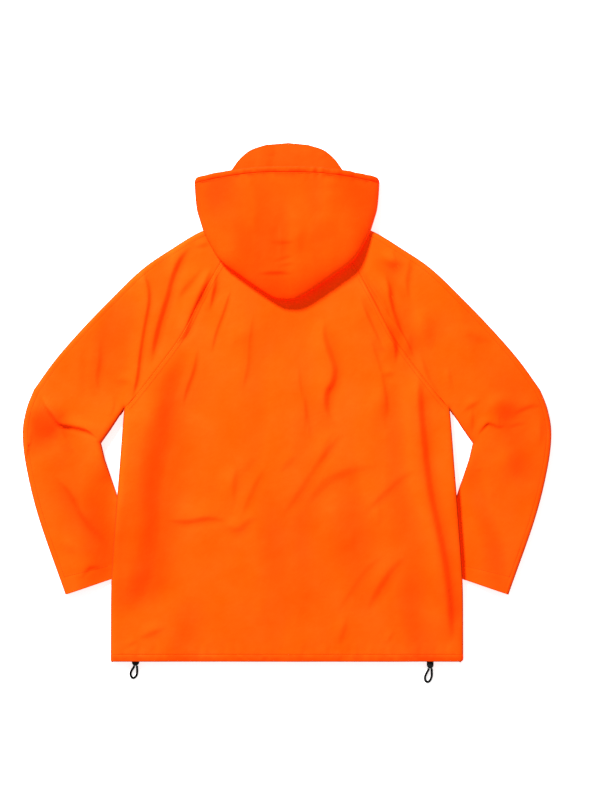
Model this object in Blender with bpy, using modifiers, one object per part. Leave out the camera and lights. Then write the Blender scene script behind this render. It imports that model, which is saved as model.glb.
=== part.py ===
"""A hooded waxed field jacket, laid face down with its hood thrown back.

Metres, +Z up. The jacket lies on z = 0 with its back upwards, its hem towards -Y
and its hood towards +Y. The body and the sleeves are flattened tubes of one cloth
wall: their upper layer rises from a rounded fold at the outline, and their lower
layer lies flat on the surface. The forearms are tucked under the body's sides,
which lie over them. The hood is a flattened bag that lies on the back and the
shoulders, with its mouth towards +Y, and its neck part lies flat beyond the mouth.

Every panel is a grid whose points come from a plan, worked out from the outline
tables, and from height functions that neighbours share, so that panels meet at
their seams. Each grid is the garment's outer face, and Solidify adds the cloth
inwards.
"""

import math
from typing import NamedTuple

import bmesh
import bpy
import mathutils
import numpy as np

COLLECTION = "waxed_field_jacket"

# --- Cloth ---------------------------------------------------------------------
CLOTH = 0.0015
SEAM_GAP = 0.0003
CASING_CLOTH = 0.0024
CASING_RAISE = 0.0006
LAYER_GAP = 0.0004
NECK_SEAM = 0.0005
SHOULDER_CLEARANCE = 0.0010
NAPE_SHOULDER_CLEARANCE = 0.0026
NAPE_CLEARANCE = 0.0010
UNDERARM_GAP = 0.0012
UNDERARM_SPREAD = {1: 0.915, -1: 0.945}

# --- Outline, for the +X half, as (x, y); the -X half is its mirror --------------
HEM_Y = -0.466
UNDERARM = (0.2925, -0.013)
SHOULDER_NECK = (0.092, 0.322)
BACK_NECK_SIDE = (0.072, 0.317)
BACK_NECK_CENTRE = (0.0, 0.309)
FRONT_NECK_SIDE = (0.076, 0.288)
FRONT_NECK_CENTRE = (0.0, 0.238)

SIDE_SEAM = (
    UNDERARM,
    (0.2965, -0.060),
    (0.3010, -0.122),
    (0.3070, -0.200),
    (0.3155, -0.330),
    (0.3170, HEM_Y),
)
BACK_RAGLAN = (
    BACK_NECK_SIDE,
    (0.119, 0.250),
    (0.155, 0.186),
    (0.187, 0.124),
    (0.232, 0.061),
    (0.2755, 0.006),
    UNDERARM,
)
FRONT_RAGLAN = (
    FRONT_NECK_SIDE,
    (0.122, 0.214),
    (0.163, 0.150),
    (0.205, 0.090),
    (0.248, 0.036),
    UNDERARM,
)
SLEEVE_OUTER_UPPER = (
    SHOULDER_NECK,
    (0.151, 0.308),
    (0.209, 0.274),
    (0.261, 0.238),
    (0.317, 0.184),
    (0.369, 0.130),
    (0.416, 0.076),
    (0.455, 0.022),
)
SLEEVE_OUTER_LOWER = (
    (0.455, 0.022),
    (0.4685, -0.014),
    (0.475, -0.059),
    (0.4675, -0.122),
    (0.445, -0.212),
    (0.398, -0.346),
)
INNER_ELBOW = (0.3335, -0.074)
SLEEVE_INNER_UPPER = (UNDERARM, (0.3165, -0.050), INNER_ELBOW)
SLEEVE_INNER_LOWER = (INNER_ELBOW, (0.3265, -0.104), (0.3085, -0.158), (0.262, -0.3006))
ELBOW_STATION = 0.55

HOOD_CORNER = (0.1665, 0.403)
HOOD_SIDE = (
    (0.151, 0.309),
    (0.157, 0.328),
    (0.162, 0.346),
    (0.165, 0.373),
    HOOD_CORNER,
)
HOOD_NECK_SIDE = (0.130, 0.3142)
HOOD_BOTTOM = (
    (0.151, 0.309),
    (0.139, 0.284),
    (0.118, 0.252),
    (0.082, 0.225),
    (0.041, 0.197),
    (0.018, 0.1845),
    (0.0, 0.182),
)
HOOD_MOUTH = (HOOD_CORNER, (0.110, 0.413), (0.055, 0.4195), (0.0, 0.421))
CHIN_RIM = (
    HOOD_CORNER,
    (0.110, 0.4105),
    (0.0995, 0.4185),
    (0.0865, 0.436),
    (0.066, 0.453),
    (0.038, 0.4625),
    (0.0, 0.466),
)

# --- Heights ---------------------------------------------------------------------
PLATEAU = 0.014
SLEEVE_CROWN = 0.022
BODY_EDGE_SPAN = 0.025
SLEEVE_EDGE_SPAN = 0.030
UNDER_EDGE_SPAN = 0.014
SHOULDER_FOLD = 0.008
BODY_FOLD = 0.006
PRESSED_SLEEVE = 0.0068
TUCK_LIFT = 0.0083
TUCK_FALL = 0.040
RIM_STRIP = 0.001
RIM_SHARE = 0.0022
HOOD_RIM_SHARE = 0.0025

# --- Front closing ---------------------------------------------------------------
FRONT_OPENING_X = 0.002
PLACKET_LEFT_X = -0.020
PLACKET_RIGHT_X = 0.036
PLACKET_HEM_Y = -0.450
PLACKET_CHIN_Y = 0.448
PLACKET_CLOTH = 0.0014
STUD_RADIUS = 0.006
STUD_HEIGHT = 0.0010
STUD_COUNT = 7
STUD_FIRST_Y = -0.410
STUD_LAST_Y = 0.400
PLACKET_Z = STUD_HEIGHT + SEAM_GAP
FRONT_OVER_PLACKET = PLACKET_Z + PLACKET_CLOTH + SEAM_GAP
PLACKET_STEP = 0.009
PLACKET_NECK_SPREAD = 0.030

# --- Casings and hems --------------------------------------------------------------
HEM_CASING = 0.0125
HOOD_CASING = 0.010

# --- Cord locks and loops, black, at the hem's drawcord -----------------------------
CORD_DIAMETER = 0.0034
LOCK_THICKNESS = 0.009


class Height(NamedTuple):
    """One row of a height table: a place along y, and a value there."""

    y: float
    value: float


class Crease(NamedTuple):
    """A soft ridge (+) or trough (-) along a path on the upper layer."""

    path: tuple
    height: float
    width: float


INNER_FOLD_HEIGHT = (
    Height(-0.300, 0.0032),
    Height(-0.190, 0.0034),
    Height(-0.150, 0.0046),
    Height(-0.074, 0.0090),
    Height(-0.013, 0.0080),
)
OUTER_FOLD_HEIGHT = (
    Height(-0.346, 0.0080),
    Height(-0.059, 0.0095),
    Height(0.076, 0.0092),
    Height(0.250, 0.0080),
)
HOOD_EDGE_HEIGHT = (
    Height(0.182, 0.0265),
    Height(0.252, 0.0260),
    Height(0.309, 0.0165),
    Height(0.346, 0.0105),
    Height(0.403, 0.0065),
)
HOOD_CROWN_HEIGHT = (
    Height(0.182, 0.043),
    Height(0.240, 0.048),
    Height(0.310, 0.047),
    Height(0.360, 0.042),
    Height(0.421, 0.036),
)
HOOD_EDGE_SPAN = (
    Height(0.182, 0.045),
    Height(0.250, 0.055),
    Height(0.310, 0.085),
    Height(0.360, 0.120),
    Height(0.421, 0.155),
)

JACKET_CREASES = (
    # The -X sleeve: a deep fold beside the raglan seam and a long one to the underarm.
    Crease(((-0.178, 0.283), (-0.202, 0.238), (-0.218, 0.166), (-0.243, 0.074)), -0.0050, 0.014),
    Crease(((-0.262, 0.215), (-0.248, 0.180), (-0.262, 0.110), (-0.278, 0.010)), 0.0040, 0.013),
    Crease(((-0.330, 0.110), (-0.345, 0.060)), 0.0020, 0.016),
    # The +X sleeve.
    Crease(((0.153, 0.211), (0.185, 0.130), (0.194, 0.085), (0.186, 0.052)), -0.0040, 0.013),
    Crease(((0.219, 0.256), (0.212, 0.150), (0.220, 0.095)), -0.0040, 0.014),
    Crease(((0.311, 0.139), (0.365, 0.094)), 0.0025, 0.018),
    # The elbows.
    Crease(((-0.443, 0.013), (-0.420, -0.030), (-0.382, -0.047), (-0.345, -0.066)), -0.0055, 0.013),
    Crease(((0.455, -0.010), (0.415, -0.016)), -0.0045, 0.012),
    Crease(((0.345, -0.062), (0.365, -0.043), (0.432, -0.040)), -0.0050, 0.012),
    # The forearms.
    Crease(((-0.419, -0.140), (-0.382, -0.185), (-0.350, -0.240)), 0.0030, 0.016),
    Crease(((0.420, -0.120), (0.395, -0.200), (0.385, -0.270)), 0.0025, 0.018),
    # The body: a rolled edge on the -X side, a trough inside the +X edge.
    Crease(((-0.276, -0.050), (-0.284, -0.250), (-0.294, -0.430)), 0.0040, 0.018),
    Crease(((-0.240, 0.020), (-0.236, -0.200), (-0.240, -0.430)), -0.0030, 0.024),
    Crease(((0.262, 0.010), (0.268, -0.200), (0.280, -0.430)), -0.0040, 0.016),
    # The back.
    Crease(((0.076, 0.144), (0.081, 0.076), (0.070, 0.012), (0.099, -0.036)), -0.0022, 0.014),
    Crease(((0.155, 0.023), (0.175, -0.016), (0.180, -0.065)), -0.0022, 0.013),
    Crease(((-0.180, 0.131), (-0.186, 0.023), (-0.160, 0.004)), 0.0025, 0.015),
    Crease(((0.144, -0.398), (0.166, -0.333), (0.216, -0.274)), 0.0020, 0.018),
    Crease(((-0.212, -0.212), (-0.117, -0.209), (-0.050, -0.205)), -0.0020, 0.016),
)
HOOD_CREASES = (
    Crease(((0.0, 0.205), (0.004, 0.330)), 0.0035, 0.022),
    Crease(((-0.083, 0.300), (-0.070, 0.255)), -0.0060, 0.026),
    Crease(((0.070, 0.315), (0.045, 0.275)), -0.0060, 0.024),
    Crease(((-0.150, 0.395), (-0.060, 0.404)), -0.0030, 0.014),
    Crease(((0.150, 0.393), (0.070, 0.404)), -0.0035, 0.014),
)


# --- Plan geometry -------------------------------------------------------------------


def smooth(points, steps=5):
    """Points of a Catmull-Rom curve through the given ones."""
    points = [np.array(point, float) for point in points]
    padded = [2 * points[0] - points[1], *points, 2 * points[-1] - points[-2]]
    curve = [points[0]]
    for before, start, end, after in zip(padded, padded[1:], padded[2:], padded[3:]):
        for step in range(1, steps + 1):
            t = step / steps
            linear = end - before
            square = 2 * before - 5 * start + 4 * end - after
            cube = 3 * start - before - 3 * end + after
            curve.append(start + 0.5 * t * (linear + t * (square + t * cube)))
    return np.array(curve)


class Path:
    """A plan curve that gives points by length and distances to itself."""

    def __init__(self, points):
        self.points = np.array(points, float)
        self.steps = np.diff(self.points, axis=0)
        lengths = np.hypot(*self.steps.T)
        self.squares = np.maximum(lengths**2, 1e-18)
        self.along = np.concatenate([[0.0], np.cumsum(lengths)])
        self.length = self.along[-1]

    def at(self, share):
        """The point at this share of the length."""
        place = min(max(share, 0.0), 1.0) * self.length
        return np.array([np.interp(place, self.along, axis) for axis in self.points.T])

    def nearest(self, x, y):
        """(distance, share of the length) of the nearest point."""
        offset = np.array([x, y]) - self.points[:-1]
        share = np.clip((offset * self.steps).sum(axis=1) / self.squares, 0.0, 1.0)
        gaps = np.hypot(*(offset - self.steps * share[:, None]).T)
        index = int(gaps.argmin())
        place = self.along[index] + share[index] * math.sqrt(self.squares[index])
        return float(gaps[index]), place / self.length

    def distance(self, x, y):
        return self.nearest(x, y)[0]


def mirrored(points, side):
    return [(side * x, y) for x, y in points]


def joined(*parts):
    """Curves end to end as one list of points."""
    points = list(parts[0])
    for part in parts[1:]:
        points.extend(list(part)[1:])
    return points


def mix(start, end, share):
    return start + (end - start) * share


def ease(share):
    share = min(max(share, 0.0), 1.0)
    return share * share * (3 - 2 * share)


def rounded(share):
    """0 to 1 as a quarter of an ellipse, upright at 0 and level from 1 on."""
    share = min(max(share, 0.0), 1.0)
    return math.sqrt(1 - (1 - share) ** 2)


def table_value(table, y):
    return float(np.interp(y, [row.y for row in table], [row.value for row in table]))


class SidePaths:
    """The curves of one half of the jacket."""

    def __init__(self, side):
        self.side = side
        self.side_seam = Path(mirrored(smooth(SIDE_SEAM), side))
        self.back_raglan = Path(mirrored(smooth(BACK_RAGLAN), side))
        self.front_raglan = Path(mirrored(smooth(FRONT_RAGLAN), side))
        self.outer_upper = Path(mirrored(smooth(SLEEVE_OUTER_UPPER), side))
        self.outer_lower = Path(mirrored(smooth(SLEEVE_OUTER_LOWER), side))
        self.inner_upper = Path(mirrored(SLEEVE_INNER_UPPER, side))
        self.inner_lower = Path(mirrored(SLEEVE_INNER_LOWER, side))
        self.outer = Path(joined(self.outer_upper.points, self.outer_lower.points))
        self.inner = Path(joined(self.inner_upper.points, self.inner_lower.points))
        self.hood_side = Path(mirrored(smooth(HOOD_SIDE), side))


PATHS = {side: SidePaths(side) for side in (-1, 1)}
SIDE_EDGE = Path(smooth(SIDE_SEAM))
RAGLAN_EDGE = Path(smooth(BACK_RAGLAN))
HOOD_OUTLINE = Path(
    joined(
        mirrored(smooth(HOOD_SIDE), -1)[::-1],
        mirrored(smooth(HOOD_BOTTOM), -1),
        smooth(HOOD_BOTTOM)[::-1],
        smooth(HOOD_SIDE),
    )
)


def edge_x(path, y):
    """The x of a curve that runs down in y, at this y."""
    return float(np.interp(-y, -path.points[:, 1], path.points[:, 0]))


def side_of(x):
    return 1 if x >= 0 else -1


def crease_height(creases, x, y):
    total = 0.0
    for crease in creases:
        gap, share = CREASE_PATHS[crease].nearest(x, y)
        fade = ease(4 * share + 0.15) * ease(4 * (1 - share) + 0.15)
        total += crease.height * fade * math.exp(-((gap / crease.width) ** 2))
    return total


CREASE_PATHS = {crease: Path(smooth(crease.path, 3)) for crease in JACKET_CREASES + HOOD_CREASES}


# --- Height functions ------------------------------------------------------------------


def body_fold(y):
    """Height of the body's side fold above whatever it lies on."""
    return mix(BODY_FOLD, SHOULDER_FOLD, ease((y + 0.080) / 0.067))


def tuck_lift(x, y):
    """How far a forearm lifts the body's side that lies over it."""
    side = side_of(x)
    corner = np.array(SLEEVE_INNER_LOWER[-1]) * (side, 1)
    before = np.array(SLEEVE_INNER_LOWER[-2]) * (side, 1)
    outer = np.array(SLEEVE_OUTER_LOWER[-1]) * (side, 1)
    inner_run = (corner - before) / np.hypot(*(corner - before))
    cuff_run = (outer - corner) / np.hypot(*(outer - corner))
    offset = np.array([x, y]) - corner
    past_inner = side * (offset[0] * -inner_run[1] + offset[1] * inner_run[0])
    past_cuff = side * (offset[0] * -cuff_run[1] + offset[1] * cuff_run[0])
    over_inner = ease((past_inner + TUCK_FALL) / TUCK_FALL)
    over_cuff = ease((past_cuff + TUCK_FALL) / TUCK_FALL)
    return TUCK_LIFT * over_inner * over_cuff


def back_top(x, y):
    """Upper face of the back."""
    paths = PATHS[side_of(x)]
    edge = min(paths.outer.distance(x, y), paths.side_seam.distance(x, y))
    clear = rounded(edge / BODY_EDGE_SPAN)
    fold = body_fold(y)
    top = fold + (PLATEAU - fold) * clear
    return top + crease_height(JACKET_CREASES, x, y) * clear + tuck_lift(x, y)


def front_under(x, y):
    """Lower, outer face of the fronts."""
    paths = PATHS[side_of(x)]
    edge = min(paths.outer.distance(x, y), paths.side_seam.distance(x, y))
    roll = body_fold(y) * (1 - rounded(edge / UNDER_EDGE_SPAN))
    return roll + tuck_lift(x, y) + placket_lift(x, y)


def placket_lift(x, y):
    """How far the fronts pass over the placket, with a wider step near the neck."""
    spread = PLACKET_NECK_SPREAD * ease((y - 0.120) / 0.100)
    step = PLACKET_STEP + spread
    rise = (x - PLACKET_LEFT_X + spread + step) / step
    fall = (PLACKET_RIGHT_X + spread + step - x) / step
    return FRONT_OVER_PLACKET * min(max(min(rise, fall), 0.0), 1.0)


def sleeve_fold(x, y):
    """(distance to the nearest fold, that fold's height) of a sleeve's point."""
    paths = PATHS[side_of(x)]
    outer = paths.outer.distance(x, y)
    inner = paths.inner.distance(x, y)
    share = outer / max(outer + inner, 1e-9)
    inner_height = table_value(INNER_FOLD_HEIGHT, y)
    outer_height = table_value(OUTER_FOLD_HEIGHT, y)
    return min(outer, inner), mix(outer_height, inner_height, share)


def sleeve_top(x, y):
    """Upper face of a sleeve, pressed down where the body's side lies over it."""
    paths = PATHS[side_of(x)]
    edge, fold = sleeve_fold(x, y)
    away = ease(paths.back_raglan.distance(x, y) / 0.100)
    crown = mix(PLATEAU, SLEEVE_CROWN, away)
    clear = rounded(edge / mix(BODY_EDGE_SPAN, SLEEVE_EDGE_SPAN, away))
    free = fold + (crown - fold) * clear + crease_height(JACKET_CREASES, x, y) * clear
    under_body = edge_x(SIDE_EDGE, y) - abs(x)
    pressed = ease((under_body + 0.045) / 0.040) * ease((-0.090 - y) / 0.060)
    return mix(free, min(free, PRESSED_SLEEVE), pressed)


def sleeve_under(x, y):
    """Lower face of a sleeve."""
    edge, fold = sleeve_fold(x, y)
    return fold * (1 - rounded(edge / UNDER_EDGE_SPAN))


def jacket_top(x, y):
    """Upper face of the jacket where the hood lies on it."""
    if abs(x) < edge_x(RAGLAN_EDGE, y) and y <= BACK_NECK_SIDE[1]:
        return back_top(x, y)
    return sleeve_top(x, y)


def hood_top(x, y):
    """Upper face of the hood."""
    edge = HOOD_OUTLINE.distance(x, y)
    clear = rounded(edge / table_value(HOOD_EDGE_SPAN, y))
    fold = table_value(HOOD_EDGE_HEIGHT, y)
    top = mix(fold, table_value(HOOD_CROWN_HEIGHT, y), clear)
    return top + crease_height(HOOD_CREASES, x, y) * clear


def nape_under(x, y, edge):
    """Lower face of the hood's layer that lies on the back, rising to its edge fold."""
    neck_gap = NECK_LINE.distance(x, y)
    shoulder_gap = PATHS[side_of(x)].outer.distance(x, y)
    over_shoulder = mix(SHOULDER_CLEARANCE, NAPE_SHOULDER_CLEARANCE, ease(shoulder_gap / 0.003))
    over_shoulder *= 1 - ease(shoulder_gap / 0.040)
    rest = jacket_top(x, y) + LAYER_GAP + NAPE_CLEARANCE * ease(neck_gap / 0.010) + over_shoulder
    fold = table_value(HOOD_EDGE_HEIGHT, y)
    return mix(fold, rest, rounded(edge / UNDER_EDGE_SPAN))


def chin_under(x, y):
    """Lower face of the hood's neck part, flat but for its sides and the shoulders."""
    paths = PATHS[side_of(x)]
    side_gap = paths.hood_side.distance(x, y)
    side_roll = table_value(HOOD_EDGE_HEIGHT, y) * (1 - rounded(side_gap / UNDER_EDGE_SPAN))
    shoulder_gap = paths.outer.distance(x, y)
    shoulder_y = float(np.interp(abs(x), SHOULDER_XS, SHOULDER_YS))
    inside = SHOULDER_FOLD * (1 - rounded(shoulder_gap / UNDER_EDGE_SPAN))
    beyond = (SHOULDER_FOLD + LAYER_GAP + SHOULDER_CLEARANCE) * (1 - ease(shoulder_gap / 0.045))
    shoulder = mix(inside, beyond, ease(0.5 + (y - shoulder_y) / 0.030))
    return max(side_roll, shoulder) + placket_lift(x, y)


SHOULDER_XS = [point[0] for point in SLEEVE_OUTER_UPPER]
SHOULDER_YS = [point[1] for point in SLEEVE_OUTER_UPPER]
NECK_LINE = Path(
    joined(
        mirrored((HOOD_NECK_SIDE, SHOULDER_NECK, BACK_NECK_SIDE), -1),
        smooth((mirrored((BACK_NECK_SIDE,), -1)[0], BACK_NECK_CENTRE, BACK_NECK_SIDE)),
        (BACK_NECK_SIDE, SHOULDER_NECK, HOOD_NECK_SIDE),
    )
)


# --- Making the pieces -----------------------------------------------------------------


def new_material(name, colour, roughness, metallic=0.0):
    material = bpy.data.materials.new(name)
    material.use_nodes = True
    shader = material.node_tree.nodes["Principled BSDF"]
    shader.inputs["Base Color"].default_value = (*colour, 1.0)
    shader.inputs["Roughness"].default_value = roughness
    shader.inputs["Metallic"].default_value = metallic
    return material


def add_object(name, data, material, collection):
    piece = bpy.data.objects.new(name, data)
    data.materials.append(material)
    collection.objects.link(piece)
    return piece


def cloth_panel(name, columns, rows, place, material, collection, *, under=False, closed=False,
                cloth=CLOTH):
    """A cloth wall: a grid of place(column, row) as the outer face, thickened inwards.

    A panel that faces down is `under`, and a tube's last column is its first (`closed`)."""
    grid = bmesh.new()
    across, along = len(columns) - 1, len(rows) - 1
    bmesh.ops.create_grid(grid, x_segments=across, y_segments=along, size=0.5)
    for vertex in grid.verts:
        column = round((vertex.co.x + 0.5) * across)
        row = round((vertex.co.y + 0.5) * along)
        vertex.co = place(columns[column], rows[row])
    if closed:
        bmesh.ops.remove_doubles(grid, verts=grid.verts, dist=1e-6)
    if under:
        bmesh.ops.reverse_faces(grid, faces=grid.faces)
    mesh = bpy.data.meshes.new(name)
    grid.to_mesh(mesh)
    grid.free()
    mesh.shade_smooth()
    piece = add_object(name, mesh, material, collection)
    wall = piece.modifiers.new("cloth", "SOLIDIFY")
    wall.thickness = cloth
    wall.offset = -1
    return piece


class Column(NamedTuple):
    """A column of a panel: its share of the way, and how far up its rim strip it is."""

    share: float
    strip: float = 0.0


def body_row_edge(y, raglan):
    """Half the width of a body panel at this y, to its side seam or its raglan seam."""
    if y <= UNDERARM[1]:
        return edge_x(SIDE_EDGE, y)
    return edge_x(raglan, y) - 0.5 * SEAM_GAP * 1.5


def body_share(column, y):
    """The first two columns are an upright strip on the side fold and part above it."""
    if column.strip and y > UNDERARM[1] + 0.001:
        return RIM_SHARE
    return column.share


EDGE_SHARES = (
    Column(0.0),
    Column(0.0, RIM_STRIP),
    Column(0.005),
    Column(0.020),
    Column(0.048),
    Column(0.095),
    Column(0.170),
    Column(0.290),
    Column(0.430),
    Column(0.575),
    Column(0.715),
    Column(0.860),
)
UNDERARM_INDEX = 12


def fold_gap(column, share, row):
    """Half the gap at the side seam, wider where four panels meet at the underarm."""
    if share > 0.0 or row > UNDERARM_INDEX:
        return 0.0
    gap = UNDERARM_GAP if row == UNDERARM_INDEX else 0.5 * SEAM_GAP
    return gap + column.strip


def back_place(entry, row):
    """The back's point at this (side, column) and row."""
    side, column = entry
    edge_y = BACK_LEVELS[row]
    share = body_share(column, edge_y)
    half = body_row_edge(edge_y, RAGLAN_EDGE)
    x = side * half * (1 - share)
    dip = (BACK_NECK_SIDE[1] - BACK_NECK_CENTRE[1]) * ease(share)
    y = edge_y - dip * neck_rise(edge_y, BACK_NECK_SIDE)
    return x, y, back_top(x, y) + fold_gap(column, share, row)


def front_x(side, edge, share):
    """The x of a front's column: shares up to 1 reach the placket's step, the rest cross it."""
    flap_edge = PLACKET_RIGHT_X + SEAM_GAP if side > 0 else PLACKET_LEFT_X - SEAM_GAP
    foot = flap_edge + side * PLACKET_STEP
    if share <= 1.0:
        return mix(edge, foot, share)
    opening = FRONT_OPENING_X + 0.5 * side * SEAM_GAP
    return mix(flap_edge, opening, share - FLAP_EDGE_SHARE)


def front_neck_dip(x):
    """How far the front neckline at this x lies below its side."""
    return FRONT_NECK_SIDE[1] - float(np.interp(x, FRONT_NECKLINE[:, 0], FRONT_NECKLINE[:, 1]))


def neck_rise(level, neck_side):
    """The share of the neckline's bend that a row at this level takes."""
    return max(0.0, (level - UNDERARM[1]) / (neck_side[1] - UNDERARM[1])) ** 1.5


def front_place(side, column, row):
    """A front's point at this column, from its side edge to the front opening, and row."""
    edge_y = FRONT_LEVELS[row]
    share = body_share(column, edge_y)
    x = front_x(side, side * body_row_edge(edge_y, FRONT_RAGLAN_EDGE), share)
    y = edge_y - front_neck_dip(abs(x)) * neck_rise(edge_y, FRONT_NECK_SIDE)
    return x, y, front_under(x, y) - fold_gap(column, share, row)


def hem_row_y(row):
    return mix(HEM_Y, HEM_Y + HEM_CASING, row)


def back_hem_place(entry, row):
    """The back's hem casing, raised a little from the back's own face."""
    side, column = entry
    y = hem_row_y(row)
    x = side * edge_x(SIDE_EDGE, y) * (1 - column.share)
    top = back_top(x, y) + CASING_RAISE * (1 if column.share else 0)
    if column.share == 0.0:
        top += max(column.strip, 0.5 * SEAM_GAP)
    return x, y, top


def front_hem_place(side, column, row):
    y = hem_row_y(row)
    x = front_x(side, side * edge_x(SIDE_EDGE, y), column.share)
    under = front_under(x, y)
    if column.share == 0.0:
        under -= max(column.strip, 0.5 * SEAM_GAP)
    return x, y, under


def make_body(material, collection):
    """The back, the two fronts and their hem casings."""
    across = [(-1, column) for column in EDGE_SHARES]
    across.append((1, Column(1.0)))
    across.extend((1, column) for column in reversed(EDGE_SHARES))
    cloth_panel("back", across, range(len(BACK_LEVELS)), back_place, material, collection)
    cloth_panel("hem_casing_back", across, CASING_ROWS, back_hem_place, material, collection,
                cloth=CASING_CLOTH)
    to_opening = [*EDGE_SHARES, Column(1.0), *ACROSS_FLAP]
    for side, word in SIDE_WORDS:
        cloth_panel(f"front_{word}", to_opening, range(len(FRONT_LEVELS)),
                    lambda column, row, side=side: front_place(side, column, row),
                    material, collection, under=side < 0)
        cloth_panel(f"hem_casing_front_{word}", to_opening, CASING_ROWS,
                    lambda column, row, side=side: front_hem_place(side, column, row),
                    material, collection, under=side < 0, cloth=CASING_CLOTH)


def sleeve_top_edge(side, neck_side, raglan):
    """A sleeve's edge along the neck and down the raglan seam to the underarm."""
    return Path(joined(mirrored((SHOULDER_NECK, neck_side), side), raglan.points))


def neck_share(neck_side, edge):
    """The share of a sleeve's top edge at which the neck ends and the raglan seam starts."""
    return math.dist(SHOULDER_NECK, neck_side) / edge.length


def sleeve_shares(neck_side, raglan):
    """The columns of a sleeve's layer, with one where the neck meets the raglan seam."""
    at_neck = neck_share(neck_side, sleeve_top_edge(1, neck_side, raglan))
    return (0.0, 0.012, 0.45 * (at_neck + 0.012), at_neck, *RAGLAN_SHARES)


def panel_levels(neck_side, raglan):
    """The y of each row of a body panel: even up to the underarm, then the sleeve's columns."""
    edge = sleeve_top_edge(1, neck_side, raglan)
    seam = [edge.at(share)[1] for share in sleeve_shares(neck_side, raglan)[3:]]
    hem = HEM_Y + HEM_CASING + SEAM_GAP
    return [*np.linspace(hem, UNDERARM[1], UNDERARM_INDEX + 1), *seam[-2::-1]]


def sleeve_edge_point(upper, lower, along):
    """A point of a sleeve's fold, whose elbow is at ELBOW_STATION."""
    if along <= ELBOW_STATION:
        return upper.at(along / ELBOW_STATION)
    return lower.at((along - ELBOW_STATION) / (1 - ELBOW_STATION))


def coons(across, along, edges):
    """A point of the patch between four edges: low and high along, low and high across."""
    low_along, high_along, low_across, high_across = edges
    between_alongs = mix(low_along(along), high_along(along), across)
    between_acrosses = mix(low_across(across), high_across(across), along)
    corners = mix(
        mix(low_along(0.0), high_along(0.0), across),
        mix(low_along(1.0), high_along(1.0), across),
        along,
    )
    return between_alongs + between_acrosses - corners


def sleeve_edges(side, neck_side, raglan):
    """The four edges of a sleeve's layer: outer fold, inner fold, raglan seam and cuff."""
    paths = PATHS[side]
    top_edge = sleeve_top_edge(side, neck_side, raglan)
    return (
        lambda along: sleeve_edge_point(paths.outer_upper, paths.outer_lower, along),
        lambda along: sleeve_edge_point(paths.inner_upper, paths.inner_lower, along),
        top_edge.at,
        lambda across: mix(paths.outer.at(1.0), paths.inner.at(1.0), across),
    )


def make_sleeve(name, side, material, collection):
    """A tube: round the upper layer from the outer fold to the inner, and back below."""
    paths = PATHS[side]
    layers = {
        1: (sleeve_edges(side, BACK_NECK_SIDE, paths.back_raglan), sleeve_top),
        -1: (sleeve_edges(side, FRONT_NECK_SIDE, paths.front_raglan), sleeve_under),
    }
    seam = np.array([side * 0.83, 0.56]) * SEAM_GAP * 0.6
    around = [(1, share) for share in sleeve_shares(BACK_NECK_SIDE, RAGLAN_EDGE)]
    below = sleeve_shares(FRONT_NECK_SIDE, FRONT_RAGLAN_EDGE)
    around.extend((-1, share) for share in reversed(below[:-1]))

    def place(entry, row):
        layer, across = entry
        edges, height = layers[layer]
        x, y = coons(across, row, edges)
        z = height(x, y)
        if across in (0.0, 1.0):
            z = sleeve_fold(x, y)[1]
        if row == 0.0:
            x, y = (x, y) + seam * (1 + 9 * ease((across - UNDERARM_SPREAD[layer]) / 0.055))
        return x, y, z

    cloth_panel(name, around, SLEEVE_ROWS, place, material, collection, closed=True,
                under=side < 0)


def hood_row(column, row):
    """(x, y, layer) of the hood's bag: nape rows from -1 to 0, upper rows from 0 to 1."""
    share = column.share
    fold = HOOD_BOTTOM_LINE.at(share)
    if row < 0:
        neck = NECK_LINE.at(share)
        return mix(fold, neck, -row)
    sides = (HOOD_SIDE_LEFT.at(row), HOOD_SIDE_RIGHT.at(row))
    ends = (HOOD_BOTTOM_LINE.at(0.0), HOOD_BOTTOM_LINE.at(1.0))
    tops = (HOOD_MOUTH_LINE.at(0.0), HOOD_MOUTH_LINE.at(1.0))
    straight = mix(fold, HOOD_MOUTH_LINE.at(share), row)
    left = sides[0] - mix(ends[0], tops[0], row)
    right = sides[1] - mix(ends[1], tops[1], row)
    return straight + left * (1 - share) + right * share


def hood_place(column, row):
    if column.strip and row < 0:
        column = Column(column.share + math.copysign(HOOD_RIM_SHARE, 0.5 - column.share))
    x, y = hood_row(column, row)
    on_side = column.share in (0.0, 1.0)
    if row < 0:
        return x, y, nape_under(x, y, HOOD_BOTTOM_LINE.distance(x, y))
    z = table_value(HOOD_EDGE_HEIGHT, y) if row == 0 else hood_top(x, y)
    if on_side and row > 0:
        z += max(column.strip, 0.5 * SEAM_GAP)
    return x, y, z


def hood_length(column):
    return float(np.hypot(*(hood_row(column, 1.0) - hood_row(column, 0.0))))


def hood_bag_place(column, row):
    """The bag's rows end where its casing starts."""
    if row > 0:
        row *= 1 - (HOOD_CASING + SEAM_GAP) / hood_length(column)
    return hood_place(column, row)


def hood_casing_place(column, row):
    row = 1 - (1 - row) * HOOD_CASING / hood_length(column)
    x, y, z = hood_place(column, row)
    return x, y, z + CASING_RAISE * (1 if 0 < column.share < 1 else 0)


def chin_neck(side):
    """The neck edge of one half of the hood's neck part, from its side to the opening."""
    opening = FRONT_OPENING_X + 0.5 * side * SEAM_GAP
    neckline = [point for point in FRONT_NECKLINE[::-1] if point[0] > abs(opening) + 0.001]
    neckline = [(x - NECK_SEAM if x > 0.070 else x, y + NECK_SEAM) for x, y in neckline]
    shoulder = (SHOULDER_NECK[0] - NECK_SEAM, SHOULDER_NECK[1] + 2 * NECK_SEAM)
    outer = mirrored([CHIN_LAP, shoulder, *neckline], side)
    return Path([*outer, (opening, FRONT_NECK_CENTRE[1] + NECK_SEAM)])


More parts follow.
